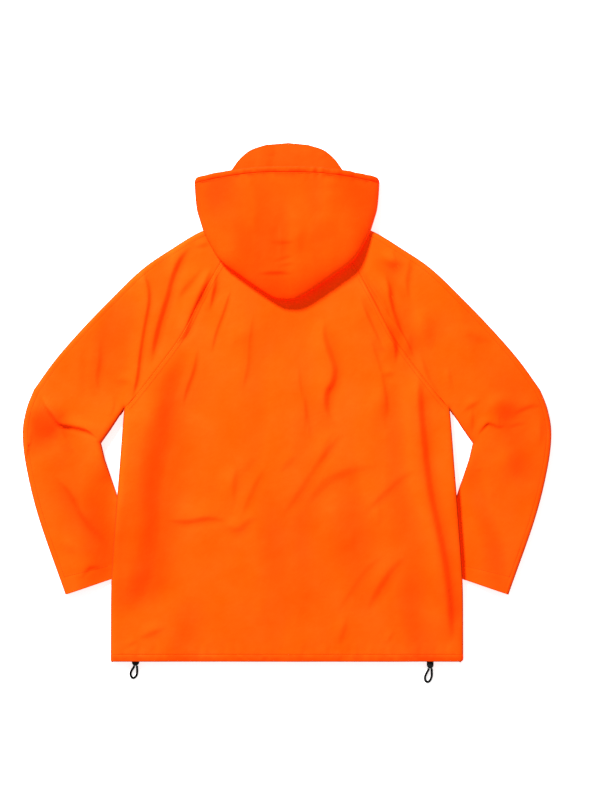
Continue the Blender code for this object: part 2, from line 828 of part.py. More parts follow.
def chin_columns(side):
    """Columns with one at the shoulder's end and one at the front neckline's."""
    neck = chin_neck(side)
    shoulder, front_side = neck.along[1] / neck.length, neck.along[2] / neck.length
    inner = (0.25, 0.50, 0.72, 0.88, 1.0)
    return (
        Column(0.0),
        Column(0.0, RIM_STRIP),
        *(Column(share) for share in (0.018, 0.050, 0.105, shoulder)),
        Column(mix(shoulder, front_side, 0.5)),
        *(Column(mix(front_side, 1.0, share)) for share in (0.0, *inner)),
    )


def chin_plan(side):
    """Gives the plan point of (share across, share from the neck edge to the rim)."""
    opening = FRONT_OPENING_X + 0.5 * side * SEAM_GAP
    neck = chin_neck(side)
    rim = Path([*mirrored(smooth(CHIN_RIM[:-1]), side), (opening, CHIN_RIM[-1][1])])
    fold = Path(mirrored(joined((CHIN_LAP, HOOD_SIDE[0]), smooth(HOOD_SIDE)), side))

    def point(share, row):
        bow = fold.at(row) - mix(neck.at(0.0), rim.at(0.0), row)
        return mix(neck.at(share), rim.at(share), row) + bow * (1 - ease(share / 0.110))

    return point


def chin_place(side, plan, column, row):
    x, y = plan(column.share, row)
    z = chin_under(x, y)
    if column.share == 0.0:
        z -= max(column.strip, 0.5 * SEAM_GAP)
    return x, y, z


def make_hood(material, collection):
    """The bag with its casing, and the two halves of the neck part with theirs."""
    cloth_panel("hood_bag", HOOD_COLUMNS, HOOD_ROWS, hood_bag_place, material, collection)
    cloth_panel("hood_casing", HOOD_COLUMNS, CASING_ROWS, hood_casing_place, material, collection,
                cloth=CASING_CLOTH)
    for side, word in SIDE_WORDS:
        plan = chin_plan(side)
        rim_length = CHIN_RIM[-1][1] - FRONT_NECK_CENTRE[1]
        casing = HOOD_CASING / rim_length
        columns = chin_columns(side)
        cloth_panel(f"hood_neck_{word}", columns, CHIN_ROWS,
                    lambda column, row, side=side, plan=plan, end=1 - casing - SEAM_GAP / rim_length:
                    chin_place(side, plan, column, row * end),
                    material, collection, under=side < 0)
        cloth_panel(f"hood_neck_casing_{word}", columns, CASING_ROWS,
                    lambda column, row, side=side, plan=plan, start=1 - casing:
                    chin_place(side, plan, column, mix(start, 1.0, row)),
                    material, collection, under=side < 0, cloth=CASING_CLOTH)


def add_mesh(name, build, material, collection):
    """An object whose mesh a bmesh function fills."""
    shape = bmesh.new()
    build(shape)
    mesh = bpy.data.meshes.new(name)
    shape.to_mesh(mesh)
    shape.free()
    return add_object(name, mesh, material, collection)


def make_placket(material, collection):
    """The flap under the front opening, and the press studs on its outer face."""
    size = (PLACKET_RIGHT_X - PLACKET_LEFT_X, PLACKET_CHIN_Y - PLACKET_HEM_Y, PLACKET_CLOTH)
    middle = (PLACKET_LEFT_X + PLACKET_RIGHT_X) / 2
    flap = add_mesh("front_placket", lambda shape: bmesh.ops.create_cube(shape, size=1.0),
                    material, collection)
    flap.data.transform(mathutils.Matrix.Diagonal((*size, 1.0)))
    flap.location = (middle, (PLACKET_CHIN_Y + PLACKET_HEM_Y) / 2, PLACKET_Z + size[2] / 2)
    metal = new_material("stud_metal", (0.05, 0.05, 0.05), 0.4, 1.0)
    for number, y in enumerate(np.linspace(STUD_FIRST_Y, STUD_LAST_Y, STUD_COUNT), start=1):
        stud = add_mesh(
            f"press_stud_{number}",
            lambda shape: bmesh.ops.create_cone(
                shape, cap_ends=True, segments=20, radius1=STUD_RADIUS, radius2=STUD_RADIUS,
                depth=STUD_HEIGHT,
            ),
            metal,
            collection,
        )
        stud.location = (middle, y, STUD_HEIGHT / 2)


class CordLoop(NamedTuple):
    """A drawcord's loop and its lock: the lock's middle, size and the cord's route."""

    name: str
    lock_x: float
    lock_width: float
    lock_length: float
    route: tuple


CORD_LOOPS = (
    CordLoop(
        "left",
        -0.2722,
        0.0130,
        0.0078,
        (
            (-0.2748, -0.4744, 0.0045),
            (-0.2758, -0.4775, 0.0042),
            (-0.2792, -0.4825, 0.0032),
            (-0.2815, -0.4890, 0.0020),
            (-0.2795, -0.4950, 0.0018),
            (-0.2755, -0.4962, 0.0018),
            (-0.2710, -0.4920, 0.0020),
            (-0.2694, -0.4845, 0.0032),
            (-0.2696, -0.4775, 0.0042),
            (-0.2696, -0.4744, 0.0045),
        ),
    ),
    CordLoop(
        "right",
        0.2574,
        0.0120,
        0.0125,
        (
            (0.2548, -0.4791, 0.0045),
            (0.2541, -0.4822, 0.0042),
            (0.2516, -0.4865, 0.0032),
            (0.2485, -0.4940, 0.0020),
            (0.2490, -0.5010, 0.0018),
            (0.2534, -0.5036, 0.0018),
            (0.2578, -0.5000, 0.0020),
            (0.2604, -0.4920, 0.0030),
            (0.2602, -0.4830, 0.0042),
            (0.2600, -0.4791, 0.0045),
        ),
    ),
)


def make_lock(loop, material, collection):
    """A cord lock: a short barrel with a round end, lying against the hem."""
    radius = loop.lock_width / 2
    top = HEM_Y - SEAM_GAP
    tip = top - loop.lock_length
    depth = min(radius, loop.lock_length)
    outline = [(loop.lock_x + radius, top), (loop.lock_x - radius, top)]
    for angle in np.linspace(math.pi, 2 * math.pi, 13):
        outline.append(
            (loop.lock_x + radius * math.cos(angle), tip + depth + depth * math.sin(angle))
        )
    outline = [point for index, point in enumerate(outline) if point not in outline[:index]]
    curve = bpy.data.curves.new(f"cord_stopper_{loop.name}", "CURVE")
    curve.dimensions = "2D"
    curve.fill_mode = "BOTH"
    curve.extrude = LOCK_THICKNESS / 2
    spline = curve.splines.new("POLY")
    spline.points.add(len(outline) - 1)
    for point, (x, y) in zip(spline.points, outline):
        point.co = (x, y, 0.0, 1.0)
    spline.use_cyclic_u = True
    lock = add_object(curve.name, curve, material, collection)
    lock.location.z = LOCK_THICKNESS / 2 + SEAM_GAP


def make_cord(loop, material, collection):
    """The free loop of drawcord below its lock."""
    curve = bpy.data.curves.new(f"hem_cord_{loop.name}", "CURVE")
    curve.dimensions = "3D"
    curve.bevel_depth = CORD_DIAMETER / 2
    curve.bevel_resolution = 2
    curve.use_fill_caps = True
    points = smooth(loop.route, 3)
    spline = curve.splines.new("POLY")
    spline.points.add(len(points) - 1)
    for point, place in zip(spline.points, points):
        point.co = (*place, 1.0)
    add_object(curve.name, curve, material, collection)


SIDE_WORDS = ((-1, "left"), (1, "right"))
RAGLAN_SHARES = (0.130, 0.240, 0.390, 0.550, 0.700, 0.820, 0.910, 0.970, 1.0)
FRONT_RAGLAN_EDGE = Path(smooth(FRONT_RAGLAN))
BACK_LEVELS = panel_levels(BACK_NECK_SIDE, RAGLAN_EDGE)
FRONT_LEVELS = panel_levels(FRONT_NECK_SIDE, FRONT_RAGLAN_EDGE)
FLAP_EDGE_SHARE = 2.0
ACROSS_FLAP = (Column(FLAP_EDGE_SHARE), Column(FLAP_EDGE_SHARE + 0.5), Column(FLAP_EDGE_SHARE + 1))
FRONT_NECKLINE = smooth(((-0.060, 0.238), FRONT_NECK_CENTRE, (0.050, 0.254), FRONT_NECK_SIDE))
CASING_ROWS = (0.0, 0.5, 1.0)
SLEEVE_ROWS = (0.0, 0.05, 0.11, 0.18, 0.26, 0.34, 0.42, 0.49, 0.53, 0.57, 0.62, 0.68, 0.74, 0.80,
               0.86, 0.92, 0.965, 1.0)
HOOD_BOTTOM_LINE = Path(
    joined(mirrored(smooth(HOOD_BOTTOM), -1), smooth(HOOD_BOTTOM)[::-1])
)
HOOD_SIDE_LEFT = PATHS[-1].hood_side
HOOD_SIDE_RIGHT = PATHS[1].hood_side
HOOD_MOUTH_LINE = Path(joined(mirrored(smooth(HOOD_MOUTH), -1), smooth(HOOD_MOUTH)[::-1]))
NECK_STOPS = NECK_LINE.along[[1, 2]] / NECK_LINE.length
HALF_HOOD = (Column(0.0), Column(0.0, RIM_STRIP), Column(0.010), Column(0.030), Column(0.070),
             Column(0.110), Column(NECK_STOPS[0]), Column(mix(*NECK_STOPS, 0.35)),
             Column(NECK_STOPS[1]), Column(0.300),
             Column(0.370), Column(0.435))
HOOD_COLUMNS = (*HALF_HOOD, Column(0.5),
                *(Column(1 - column.share, column.strip) for column in reversed(HALF_HOOD)))
HOOD_ROWS = (-1.0, -0.97, -0.91, -0.80, -0.62, -0.40, -0.20, -0.08, -0.02, 0.0, 0.02, 0.07,
             0.15, 0.26, 0.40, 0.55, 0.70, 0.85, 1.0)
CHIN_LAP = (HOOD_NECK_SIDE[0], HOOD_NECK_SIDE[1] + 3 * NECK_SEAM)
CHIN_ROWS = (0.0, 0.06, 0.15, 0.28, 0.42, 0.57, 0.72, 0.86, 1.0)


def main():
    for existing in list(bpy.data.objects):
        bpy.data.objects.remove(existing, do_unlink=True)
    collection = bpy.data.collections.new(COLLECTION)
    bpy.context.scene.collection.children.link(collection)
    cloth = new_material("waxed_cloth", (1.0, 0.15, 0.008), 0.45)
    black = new_material("black_trim", (0.015, 0.015, 0.015), 0.5)
    make_body(cloth, collection)
    make_sleeve("sleeve_left", -1, cloth, collection)
    make_sleeve("sleeve_right", 1, cloth, collection)
    make_hood(cloth, collection)
    make_placket(cloth, collection)
    for loop in CORD_LOOPS:
        make_lock(loop, black, collection)
        make_cord(loop, black, collection)


main()
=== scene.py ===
"""The looks of a hooded waxed field jacket, laid face down with its hood thrown back.

Metres, +Z up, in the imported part's frame. The jacket lies on z = 0 with its back
upwards, its hem towards -Y and its hood towards +Y. Every panel is a fine grid on the
form of its solid: the plan comes from the outline, the heights from functions that
neighbouring panels share, and creases are laid on top as soft troughs and ridges.
"""

import logging
import math
from dataclasses import dataclass
from enum import Enum
from typing import Callable, Iterator, NamedTuple, Sequence

import bpy
import numpy as np
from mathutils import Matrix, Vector
from numpy.typing import NDArray

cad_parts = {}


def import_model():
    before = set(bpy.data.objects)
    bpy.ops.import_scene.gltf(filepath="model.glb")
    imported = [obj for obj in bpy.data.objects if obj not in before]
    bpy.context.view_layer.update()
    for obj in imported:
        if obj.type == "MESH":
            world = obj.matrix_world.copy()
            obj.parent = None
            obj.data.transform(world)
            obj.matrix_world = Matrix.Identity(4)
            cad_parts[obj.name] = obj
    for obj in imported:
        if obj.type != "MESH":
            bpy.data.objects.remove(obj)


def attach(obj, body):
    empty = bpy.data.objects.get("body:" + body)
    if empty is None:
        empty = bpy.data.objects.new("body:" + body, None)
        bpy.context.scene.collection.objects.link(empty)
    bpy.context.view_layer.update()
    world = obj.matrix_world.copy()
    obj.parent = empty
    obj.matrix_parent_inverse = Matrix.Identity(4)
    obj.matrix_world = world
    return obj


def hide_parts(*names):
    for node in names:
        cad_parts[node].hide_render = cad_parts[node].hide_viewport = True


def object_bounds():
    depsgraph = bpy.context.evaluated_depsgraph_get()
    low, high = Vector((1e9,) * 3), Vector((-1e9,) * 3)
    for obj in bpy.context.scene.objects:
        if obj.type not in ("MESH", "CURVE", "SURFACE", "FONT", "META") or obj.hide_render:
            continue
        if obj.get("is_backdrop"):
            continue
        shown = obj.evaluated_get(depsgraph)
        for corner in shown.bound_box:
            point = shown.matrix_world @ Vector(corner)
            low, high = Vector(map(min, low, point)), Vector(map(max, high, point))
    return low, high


Array = NDArray[np.float64]
Place = Callable[[Array, Array], Array]
Plan = tuple[float, float]
Triple = tuple[float, float, float]
Socket = bpy.types.NodeSocket

LOG = logging.getLogger("waxed_field_jacket")
BODY = "root"
CASING_CLOTH = 0.0020


class Side(Enum):
    """A side of the laid jacket: LEFT is -X and RIGHT is +X."""

    LEFT = -1
    RIGHT = 1

    @property
    def word(self) -> str:
        """The side's name in lower case."""
        return self.name.lower()


class Facing(Enum):
    """Which way a panel's outer face looks."""

    UP = 1
    DOWN = -1


class Fold(NamedTuple):
    """A drop across the cloth, in millimetres: its path, its depth and its width.

    The cloth is high on the right hand of the path and falls off gently beyond.
    """

    path: tuple[Plan, ...]
    drop: float
    width: float


class ShadePatch(NamedTuple):
    """A soft place of painted shade: middle and reaches in millimetres, turn in degrees."""

    middle: Plan
    along: float
    across: float
    turn: float
    depth: float


# --- Curves and blends ---


def ease(share: Array | float) -> Array:
    """0 to 1 with a soft start and end."""
    share = np.clip(share, 0.0, 1.0)
    return share * share * (3 - 2 * share)


def rounded(share: Array | float) -> Array:
    """0 to 1 as a quarter of an ellipse, upright at 0 and level from 1 on."""
    return np.sqrt(1 - (1 - np.clip(share, 0.0, 1.0)) ** 2)


def rolled(share: Array | float) -> Array:
    """Like rounded, but fuller: most of the rise is close to the edge."""
    return np.cbrt(1 - (1 - np.clip(share, 0.0, 1.0)) ** 3)


def mix(start: Array | float, end: Array | float, share: Array | float) -> Array:
    """The value this share of the way from start to end."""
    return start + (end - start) * share


def bell(gap: Array, width: Array | float) -> Array:
    """1 where the gap is 0, falling off softly over a width on both sides."""
    return np.exp(-((gap / width) ** 2))


def paired(x: Array, y: Array) -> Array:
    """Plan points from their x and y."""
    return np.stack([x, y], axis=-1)


def halved(plan: Array) -> Array:
    """Plan points brought to the +X half."""
    return paired(np.abs(plan[..., 0]), plan[..., 1])


def smooth(points: Sequence[Sequence[float]], steps: int = 8) -> Array:
    """Points of a Catmull-Rom curve through the given ones.

    Args:
        points: The points that the curve passes through.
        steps: How many points are made for each gap.

    Returns:
        The curve's points, one a row.
    """
    given = [np.array(point, float) for point in points]
    padded = [2 * given[0] - given[1], *given, 2 * given[-1] - given[-2]]
    curve = [given[0]]
    for before, start, end, after in zip(padded, padded[1:], padded[2:], padded[3:]):
        for step in range(1, steps + 1):
            t = step / steps
            linear = end - before
            square = 2 * before - 5 * start + 4 * end - after
            cube = 3 * start - before - 3 * end + after
            curve.append(start + 0.5 * t * (linear + t * (square + t * cube)))
    return np.array(curve)


def mirrored(points: Sequence[float] | Sequence[Sequence[float]] | Array) -> Array:
    """The same plan point or points on the -X side."""
    return np.array(points, float) * (-1, 1)


def joined(*parts: Sequence[Sequence[float]] | Array) -> Array:
    """Curves end to end as one, without the points where they meet twice."""
    return np.concatenate([np.array(parts[0], float), *[np.array(p, float)[1:] for p in parts[1:]]])


class PlanCurve:
    """A curve on the surface that the jacket lies on."""

    @classmethod
    def through(cls, *points: Sequence[float]) -> "PlanCurve":
        """The smooth curve through these points."""
        return cls(smooth(points))

    def __init__(self, points: Sequence[Sequence[float]] | Array) -> None:
        """Keeps the points and their lengths along the curve."""
        self.points = np.array(points, float)
        self.steps = np.diff(self.points, axis=0)
        self.lengths = np.maximum(np.hypot(*self.steps.T), 1e-9)
        self.along = np.concatenate([[0.0], np.cumsum(self.lengths)])
        self.length = float(self.along[-1])

    def at(self, share: Array | float) -> Array:
        """The plan points at these shares of the length."""
        place = np.clip(share, 0.0, 1.0) * self.length
        return np.stack([np.interp(place, self.along, axis) for axis in self.points.T], axis=-1)

    def nearest(self, plan: Array) -> tuple[Array, Array, Array]:
        """How the curve lies to each plan point.

        Args:
            plan: Points, x and y in the last axis.

        Returns:
            The distance, the share of the length, and +1 or -1 for the side of the curve.
        """
        flat = plan.reshape(-1, 2)
        gaps, shares, sides = np.full(len(flat), np.inf), np.zeros(len(flat)), np.ones(len(flat))
        for start, step, long, before in zip(self.points, self.steps, self.lengths, self.along):
            offset = flat - start
            part = np.clip((offset @ step) / long**2, 0.0, 1.0)
            away = offset - part[:, None] * step
            gap = np.hypot(*away.T)
            better = gap < gaps
            gaps = np.where(better, gap, gaps)
            shares = np.where(better, (before + part * long) / self.length, shares)
            turn = step[0] * offset[:, 1] - step[1] * offset[:, 0]
            sides = np.where(better, np.sign(turn), sides)
        form = plan.shape[:-1]
        return gaps.reshape(form), shares.reshape(form), sides.reshape(form)

    def distance(self, plan: Array) -> Array:
        """How far each plan point lies from the curve."""
        return self.nearest(plan)[0]

    def x_at(self, y: Array | float) -> Array:
        """The curve's x at this y, for a curve that runs down in y."""
        return np.interp(-np.asarray(y, float), -self.points[:, 1], self.points[:, 0])


def value_noise(plan: Array, span: float, seed: int) -> Array:
    """Smooth noise from -1 to 1 with features about `span` metres wide."""
    lattice = np.random.default_rng(seed).uniform(-1.0, 1.0, (97, 97))
    grid = plan / span + 40.37
    cell = np.floor(grid).astype(int)
    part = ease(grid - cell)
    left, below = cell[..., 0] % 97, cell[..., 1] % 97
    right, above = (left + 1) % 97, (below + 1) % 97
    low = mix(lattice[left, below], lattice[right, below], part[..., 0])
    high = mix(lattice[left, above], lattice[right, above], part[..., 0])
    return mix(low, high, part[..., 1])


def crumpled(plan: Array, span: float, seed: int) -> Array:
    """Facets about `span` metres wide, from 0 at the creases between them to 1 inside."""
    jitter = np.random.default_rng(seed).uniform(0.2, 0.8, (61, 61, 2))
    grid = plan / span + 30.21
    cell = np.floor(grid).astype(int)
    nearest = np.full(grid.shape[:-1], np.inf)
    second = nearest.copy()
    for right in (-1, 0, 1):
        for above in (-1, 0, 1):
            place = cell + (right, above)
            site = place + jitter[place[..., 0] % 61, place[..., 1] % 61]
            gap = np.hypot(*np.moveaxis(grid - site, -1, 0))
            second = np.minimum(second, np.maximum(nearest, gap))
            nearest = np.minimum(nearest, gap)
    return ease((second - nearest) / 0.9)


def graded(length: float, fine: float, coarse: float, growth: float = 1.22) -> Array:
    """Places from 0 to a length, close together at both ends.

    Args:
        length: The whole length in metres.
        fine: The first step at each end.
        coarse: The step in between.
        growth: How fast the steps grow.

    Returns:
        The places as shares of the length, from 0 to 1.
    """
    places, step = [0.0], fine
    while places[-1] + step < length / 2 and step < coarse:
        places.append(places[-1] + step)
        step *= growth
    ends = np.array(places)
    middle = length - 2 * ends[-1]
    count = max(2, round(middle / coarse) + 1)
    inner = np.linspace(ends[-1], length - ends[-1], count)
    return np.concatenate([ends[:-1], inner, length - ends[-2::-1]]) / length


# --- The cloth's creases ---

BODY_FOLDS = (
    Fold(((104, -50), (60, -105), (20, -165), (-12, -212)), 1.8, 12),
    Fold(((-34, -112), (-52, -140), (-70, -180), (-86, -218)), 1.8, 11),
    Fold(((236, -118), (205, -138), (170, -170), (134, -206)), 1.6, 12),
    Fold(((180, -268), (142, -302), (112, -345), (88, -380)), 1.2, 11),
    Fold(((20, 70), (26, 20), (38, -30), (44, -75)), 1.2, 7),
    Fold(((-60, 160), (-66, 110), (-70, 60), (-82, 15)), 1.3, 8),
    Fold(((150, 110), (168, 60), (178, 10), (180, -30)), 1.5, 7),
    Fold(((140, 221), (180, 160), (211, 117), (227, 81)), 2.8, 5),
    Fold(((150, 225), (172, 186), (186, 150)), 2, 4),
    Fold(((-100, 205), (-112, 165), (-128, 120), (-135, 85)), 1.8, 6),
    Fold(((-160, 100), (-166, 60), (-180, 20), (-186, -10)), 2.2, 7),
    Fold(((-133, 241), (-140, 216), (-151, 193), (-166, 164)), 3.1, 10.8),
    Fold(((-126, 238), (-128, 214), (-133, 189), (-139, 160)), 4.8, 8.6),
    Fold(((-186, 118), (-194, 80), (-204, 36), (-216, -14), (-228, -66)), 6.4, 48),
    Fold(((-220, 18), (-232, -50), (-243, -140), (-250, -230), (-263, -311),
          (-279, -383)), 9.7, 50.4),
    Fold(((-223, -248), (-223, -194), (-220, -149), (-196, -68), (-196, -5), (-185, 31),
          (-176, 67), (-180, 103)), 2.8, 19.4),
    Fold(((70, 151), (68, 121), (77, 90), (86, 61), (83, 36), (72, 14), (74, -18),
          (92, -43)), 5.7, 13.8),
    Fold(((133, 232), (144, 207), (153, 189), (167, 162), (180, 139), (191, 115), (196, 94),
          (194, 65)), 6.6, 10.4),
    Fold(((198, 54), (184, 49), (164, 47)), 3.1, 13),
    Fold(((130, 189), (142, 162), (155, 133), (167, 108), (180, 90)), 4.6, 8.6),
    Fold(((142, 126), (157, 97), (171, 70)), 2, 10.8),
    Fold(((238, 58), (241, -14), (248, -86), (257, -158), (270, -221), (283, -284),
          (292, -356), (297, -437)), 7.3, 15.5),
    Fold(((164, 43), (175, 13), (175, -18), (178, -54)), 2.6, 19.4),
    Fold(((-22, 184), (-27, 130), (-31, 67)), 2.4, 34.6),
    Fold(((32, 25), (34, -14), (32, -61)), 1.4, 7.6),
    Fold(((-45, -95), (-67, -113), (-85, -140)), 1.4, 17.3),
    Fold(((23, -92), (5, -108), (-14, -130)), 2, 15.2),
    Fold(((-88, -108), (-94, -149), (-94, -191)), 2.8, 13),
    Fold(((-100, -214), (-140, -209), (-180, -215), (-222, -212)), 2.8, 11),
    Fold(((-45, -207), (-68, -214), (-86, -229), (-106, -225), (-122, -209)), 2.5, 15.2),
    Fold(((171, -115), (135, -119), (104, -128), (74, -142), (49, -169), (31, -202)), 2.8, 19.4),
    Fold(((85, -47), (70, -83), (56, -122)), 2, 15.2),
    Fold(((29, -140), (27, -212), (29, -302), (27, -428)), 2.8, 40.3),
    Fold(((221, -272), (196, -292), (175, -320), (155, -353), (139, -387)), 3.6, 15.5),
    Fold(((110, -378), (101, -414), (92, -446)), 2.6, 13),
    Fold(((193, -407), (178, -439)), 1.8, 8.6),
    Fold(((166, -176), (167, -230)), 1.4, 13),
    Fold(((119, -227), (122, -270)), 1.4, 13),
    Fold(((-47, -349), (-40, -376), (-18, -398)), 1.4, 13),
    Fold(((-214, -403), (-243, -416), (-270, -425)), 2.8, 13),
    Fold(((-261, -428), (-279, -434), (-293, -446)), 1.8, 8.6),
    Fold(((-45, 130), (-85, 108), (-113, 94)), 1.2, 21.6),
)
SLEEVE_FOLDS = (
    Fold(((-135, 283), (-149, 281), (-167, 279)), 2.9, 8.1),
    Fold(((-171, 281), (-191, 256), (-205, 223), (-214, 189), (-223, 160), (-232, 128),
          (-239, 94), (-241, 65)), 5, 11),
    Fold(((-261, 245), (-252, 221), (-247, 198), (-248, 173), (-256, 130), (-263, 85),
          (-268, 43), (-277, 4)), 4, 7.4),
    Fold(((-146, 248), (-167, 221), (-185, 200), (-200, 176)), 2.9, 12.1),
    Fold(((-133, 245), (-151, 202), (-171, 155), (-182, 122), (-202, 101)), 4.2, 9.8),
    Fold(((-274, 38), (-292, 36), (-315, 38)), 2.3, 14.2),
    Fold(((-335, 119), (-335, 76), (-340, 43), (-335, 9)), 2.5, 10.1),
    Fold(((-369, 103), (-365, 49), (-367, 4)), 1.3, 16.2),
    Fold(((-315, 18), (-310, -7), (-320, -31)), 1.5, 8.1),
    Fold(((-337, -68), (-358, -52), (-383, -45), (-407, -40), (-421, -23), (-434, -5),
          (-443, 16)), 4.4, 6.2),
    Fold(((-394, -65), (-427, -45), (-452, -32), (-473, -32)), 9.4, 49.5),
    Fold(((-409, -40), (-396, -65), (-378, -90)), 3.7, 10.4),
    Fold(((-335, -94), (-344, -74), (-355, -54)), 1.8, 6.1),
    Fold(((-308, -272), (-333, -247), (-353, -223), (-371, -198), (-382, -176), (-396, -155),
          (-419, -133)), 5.5, 13.3),
    Fold(((-376, -277), (-392, -263), (-410, -248)), 2.3, 16.2),
    Fold(((-311, -299), (-335, -299), (-351, -297), (-362, -306), (-371, -319)), 3.5, 7.4),
    Fold(((175, 234), (184, 207), (187, 180), (193, 157), (202, 135), (212, 110)), 5.8, 8.9),
    Fold(((211, 259), (200, 247), (182, 248), (164, 270)), 5.8, 17.8),
    Fold(((220, 270), (220, 241), (216, 216), (220, 175)), 2.5, 8.1),
    Fold(((221, 133), (223, 103), (229, 76)), 2.5, 8.1),
    Fold(((234, 97), (245, 72), (254, 45), (270, 16), (290, -9)), 2.9, 10.1),
    Fold(((252, 175), (254, 126), (259, 83)), 4.8, 31.5),
    Fold(((290, 67), (293, 43), (301, 22)), 2.3, 10.1),
    Fold(((369, 106), (338, 115), (308, 133)), 1.8, 14.2),
    Fold(((351, 2), (335, -5), (313, -20)), 3.7, 10.4),
    Fold(((333, -5), (333, -32), (331, -61)), 2.7, 10.1),
    Fold(((396, -40), (382, -45), (371, -42), (360, -39), (349, -50), (340, -62)), 3.6, 5.8),
    Fold(((427, -22), (389, -18), (351, -18)), 5.8, 36),
    Fold(((464, -9), (441, -7), (421, -14), (403, -25)), 2.4, 7.1),
    Fold(((434, -36), (410, -41), (389, -47)), 1.8, 6.1),
    Fold(((455, -18), (457, -50), (455, -86)), 2.3, 10.1),
    Fold(((430, -79), (409, -115), (389, -151)), 3.4, 37.8),
    Fold(((356, -115), (337, -126)), 1.3, 14.2),
)
HOOD_FOLDS = (
    Fold(((-104, 313), (-92, 290), (-76, 266), (-52, 236)), 3, 30.2),
    Fold(((92, 331), (68, 304), (41, 279)), 2.6, 35.3),
    Fold(((23, 319), (25, 292), (23, 252)), 2.4, 20.2),
    Fold(((-14, 252), (-14, 292), (-13, 324)), 2.6, 9),
    Fold(((20, 286), (-2, 284), (-34, 286)), 2.2, 8),
    Fold(((16, 262), (-5, 257), (-26, 250)), 1.8, 6),
    Fold(((14, 226), (-7, 230), (-31, 230), (-56, 228)), 2.6, 6.6),
    Fold(((18, 247), (-2, 245), (-22, 241)), 1.6, 5.6),
    Fold(((-56, 338), (-56, 320), (-47, 302)), 1.8, 15.1),
    Fold(((104, 389), (81, 385), (56, 387)), 1, 12.6),
    Fold(((-63, 403), (-63, 382)), 1, 10.1),
    Fold(((-133, 382), (-149, 373)), 1, 20.2),
)
NECK_FOLDS = (
    Fold(((-58, 459), (-58, 441), (-56, 421)), 0.9, 5.4),
    Fold(((-7, 441), (-27, 445), (-45, 443)), 0.9, 5.4),
    Fold(((45, 457), (45, 436)), 0.8, 7.2),
    Fold(((76, 448), (65, 441), (52, 436)), 1.2, 7.2),
    Fold(((31, 450), (29, 432)), 0.6, 9),
)

# Soft places of painted shade on the jacket, and below them on the hood.
JACKET_SHADE_PATCHES = (
    ShadePatch((-434, -36), 40, 34, 45, 0.60),
    ShadePatch((-385, -170), 110, 46, -70, 0.55),
    ShadePatch((-372, 90), 120, 45, 50, 0.28),
    ShadePatch((425, 10), 70, 50, 0, 0.18),
    ShadePatch((-247, -170), 170, 22, -82, 0.07),
    ShadePatch((-220, 15), 110, 26, -76, 0.15),
    ShadePatch((262, -190), 150, 11, -78, 0.35),
    ShadePatch((150, -350), 120, 100, 0, 0.10),
    ShadePatch((374, -284), 50, 45, 0, 0.28),
    ShadePatch((194, 238), 30, 18, 60, 0.45),
    ShadePatch((375, -130), 120, 55, -75, 0.17),
    ShadePatch((0, -490), 320, 14, 0, 0.30),
    ShadePatch((-330, -280), 30, 30, 0, 0.16),
)
HOOD_SHADE_PATCHES = (
    ShadePatch((-128, 375), 55, 38, 80, 0.80),
    ShadePatch((126, 372), 55, 38, -80, 0.48),
    ShadePatch((0, 200), 90, 24, 0, 0.25),
    ShadePatch((-74, 290), 40, 20, -70, 0.25),
)


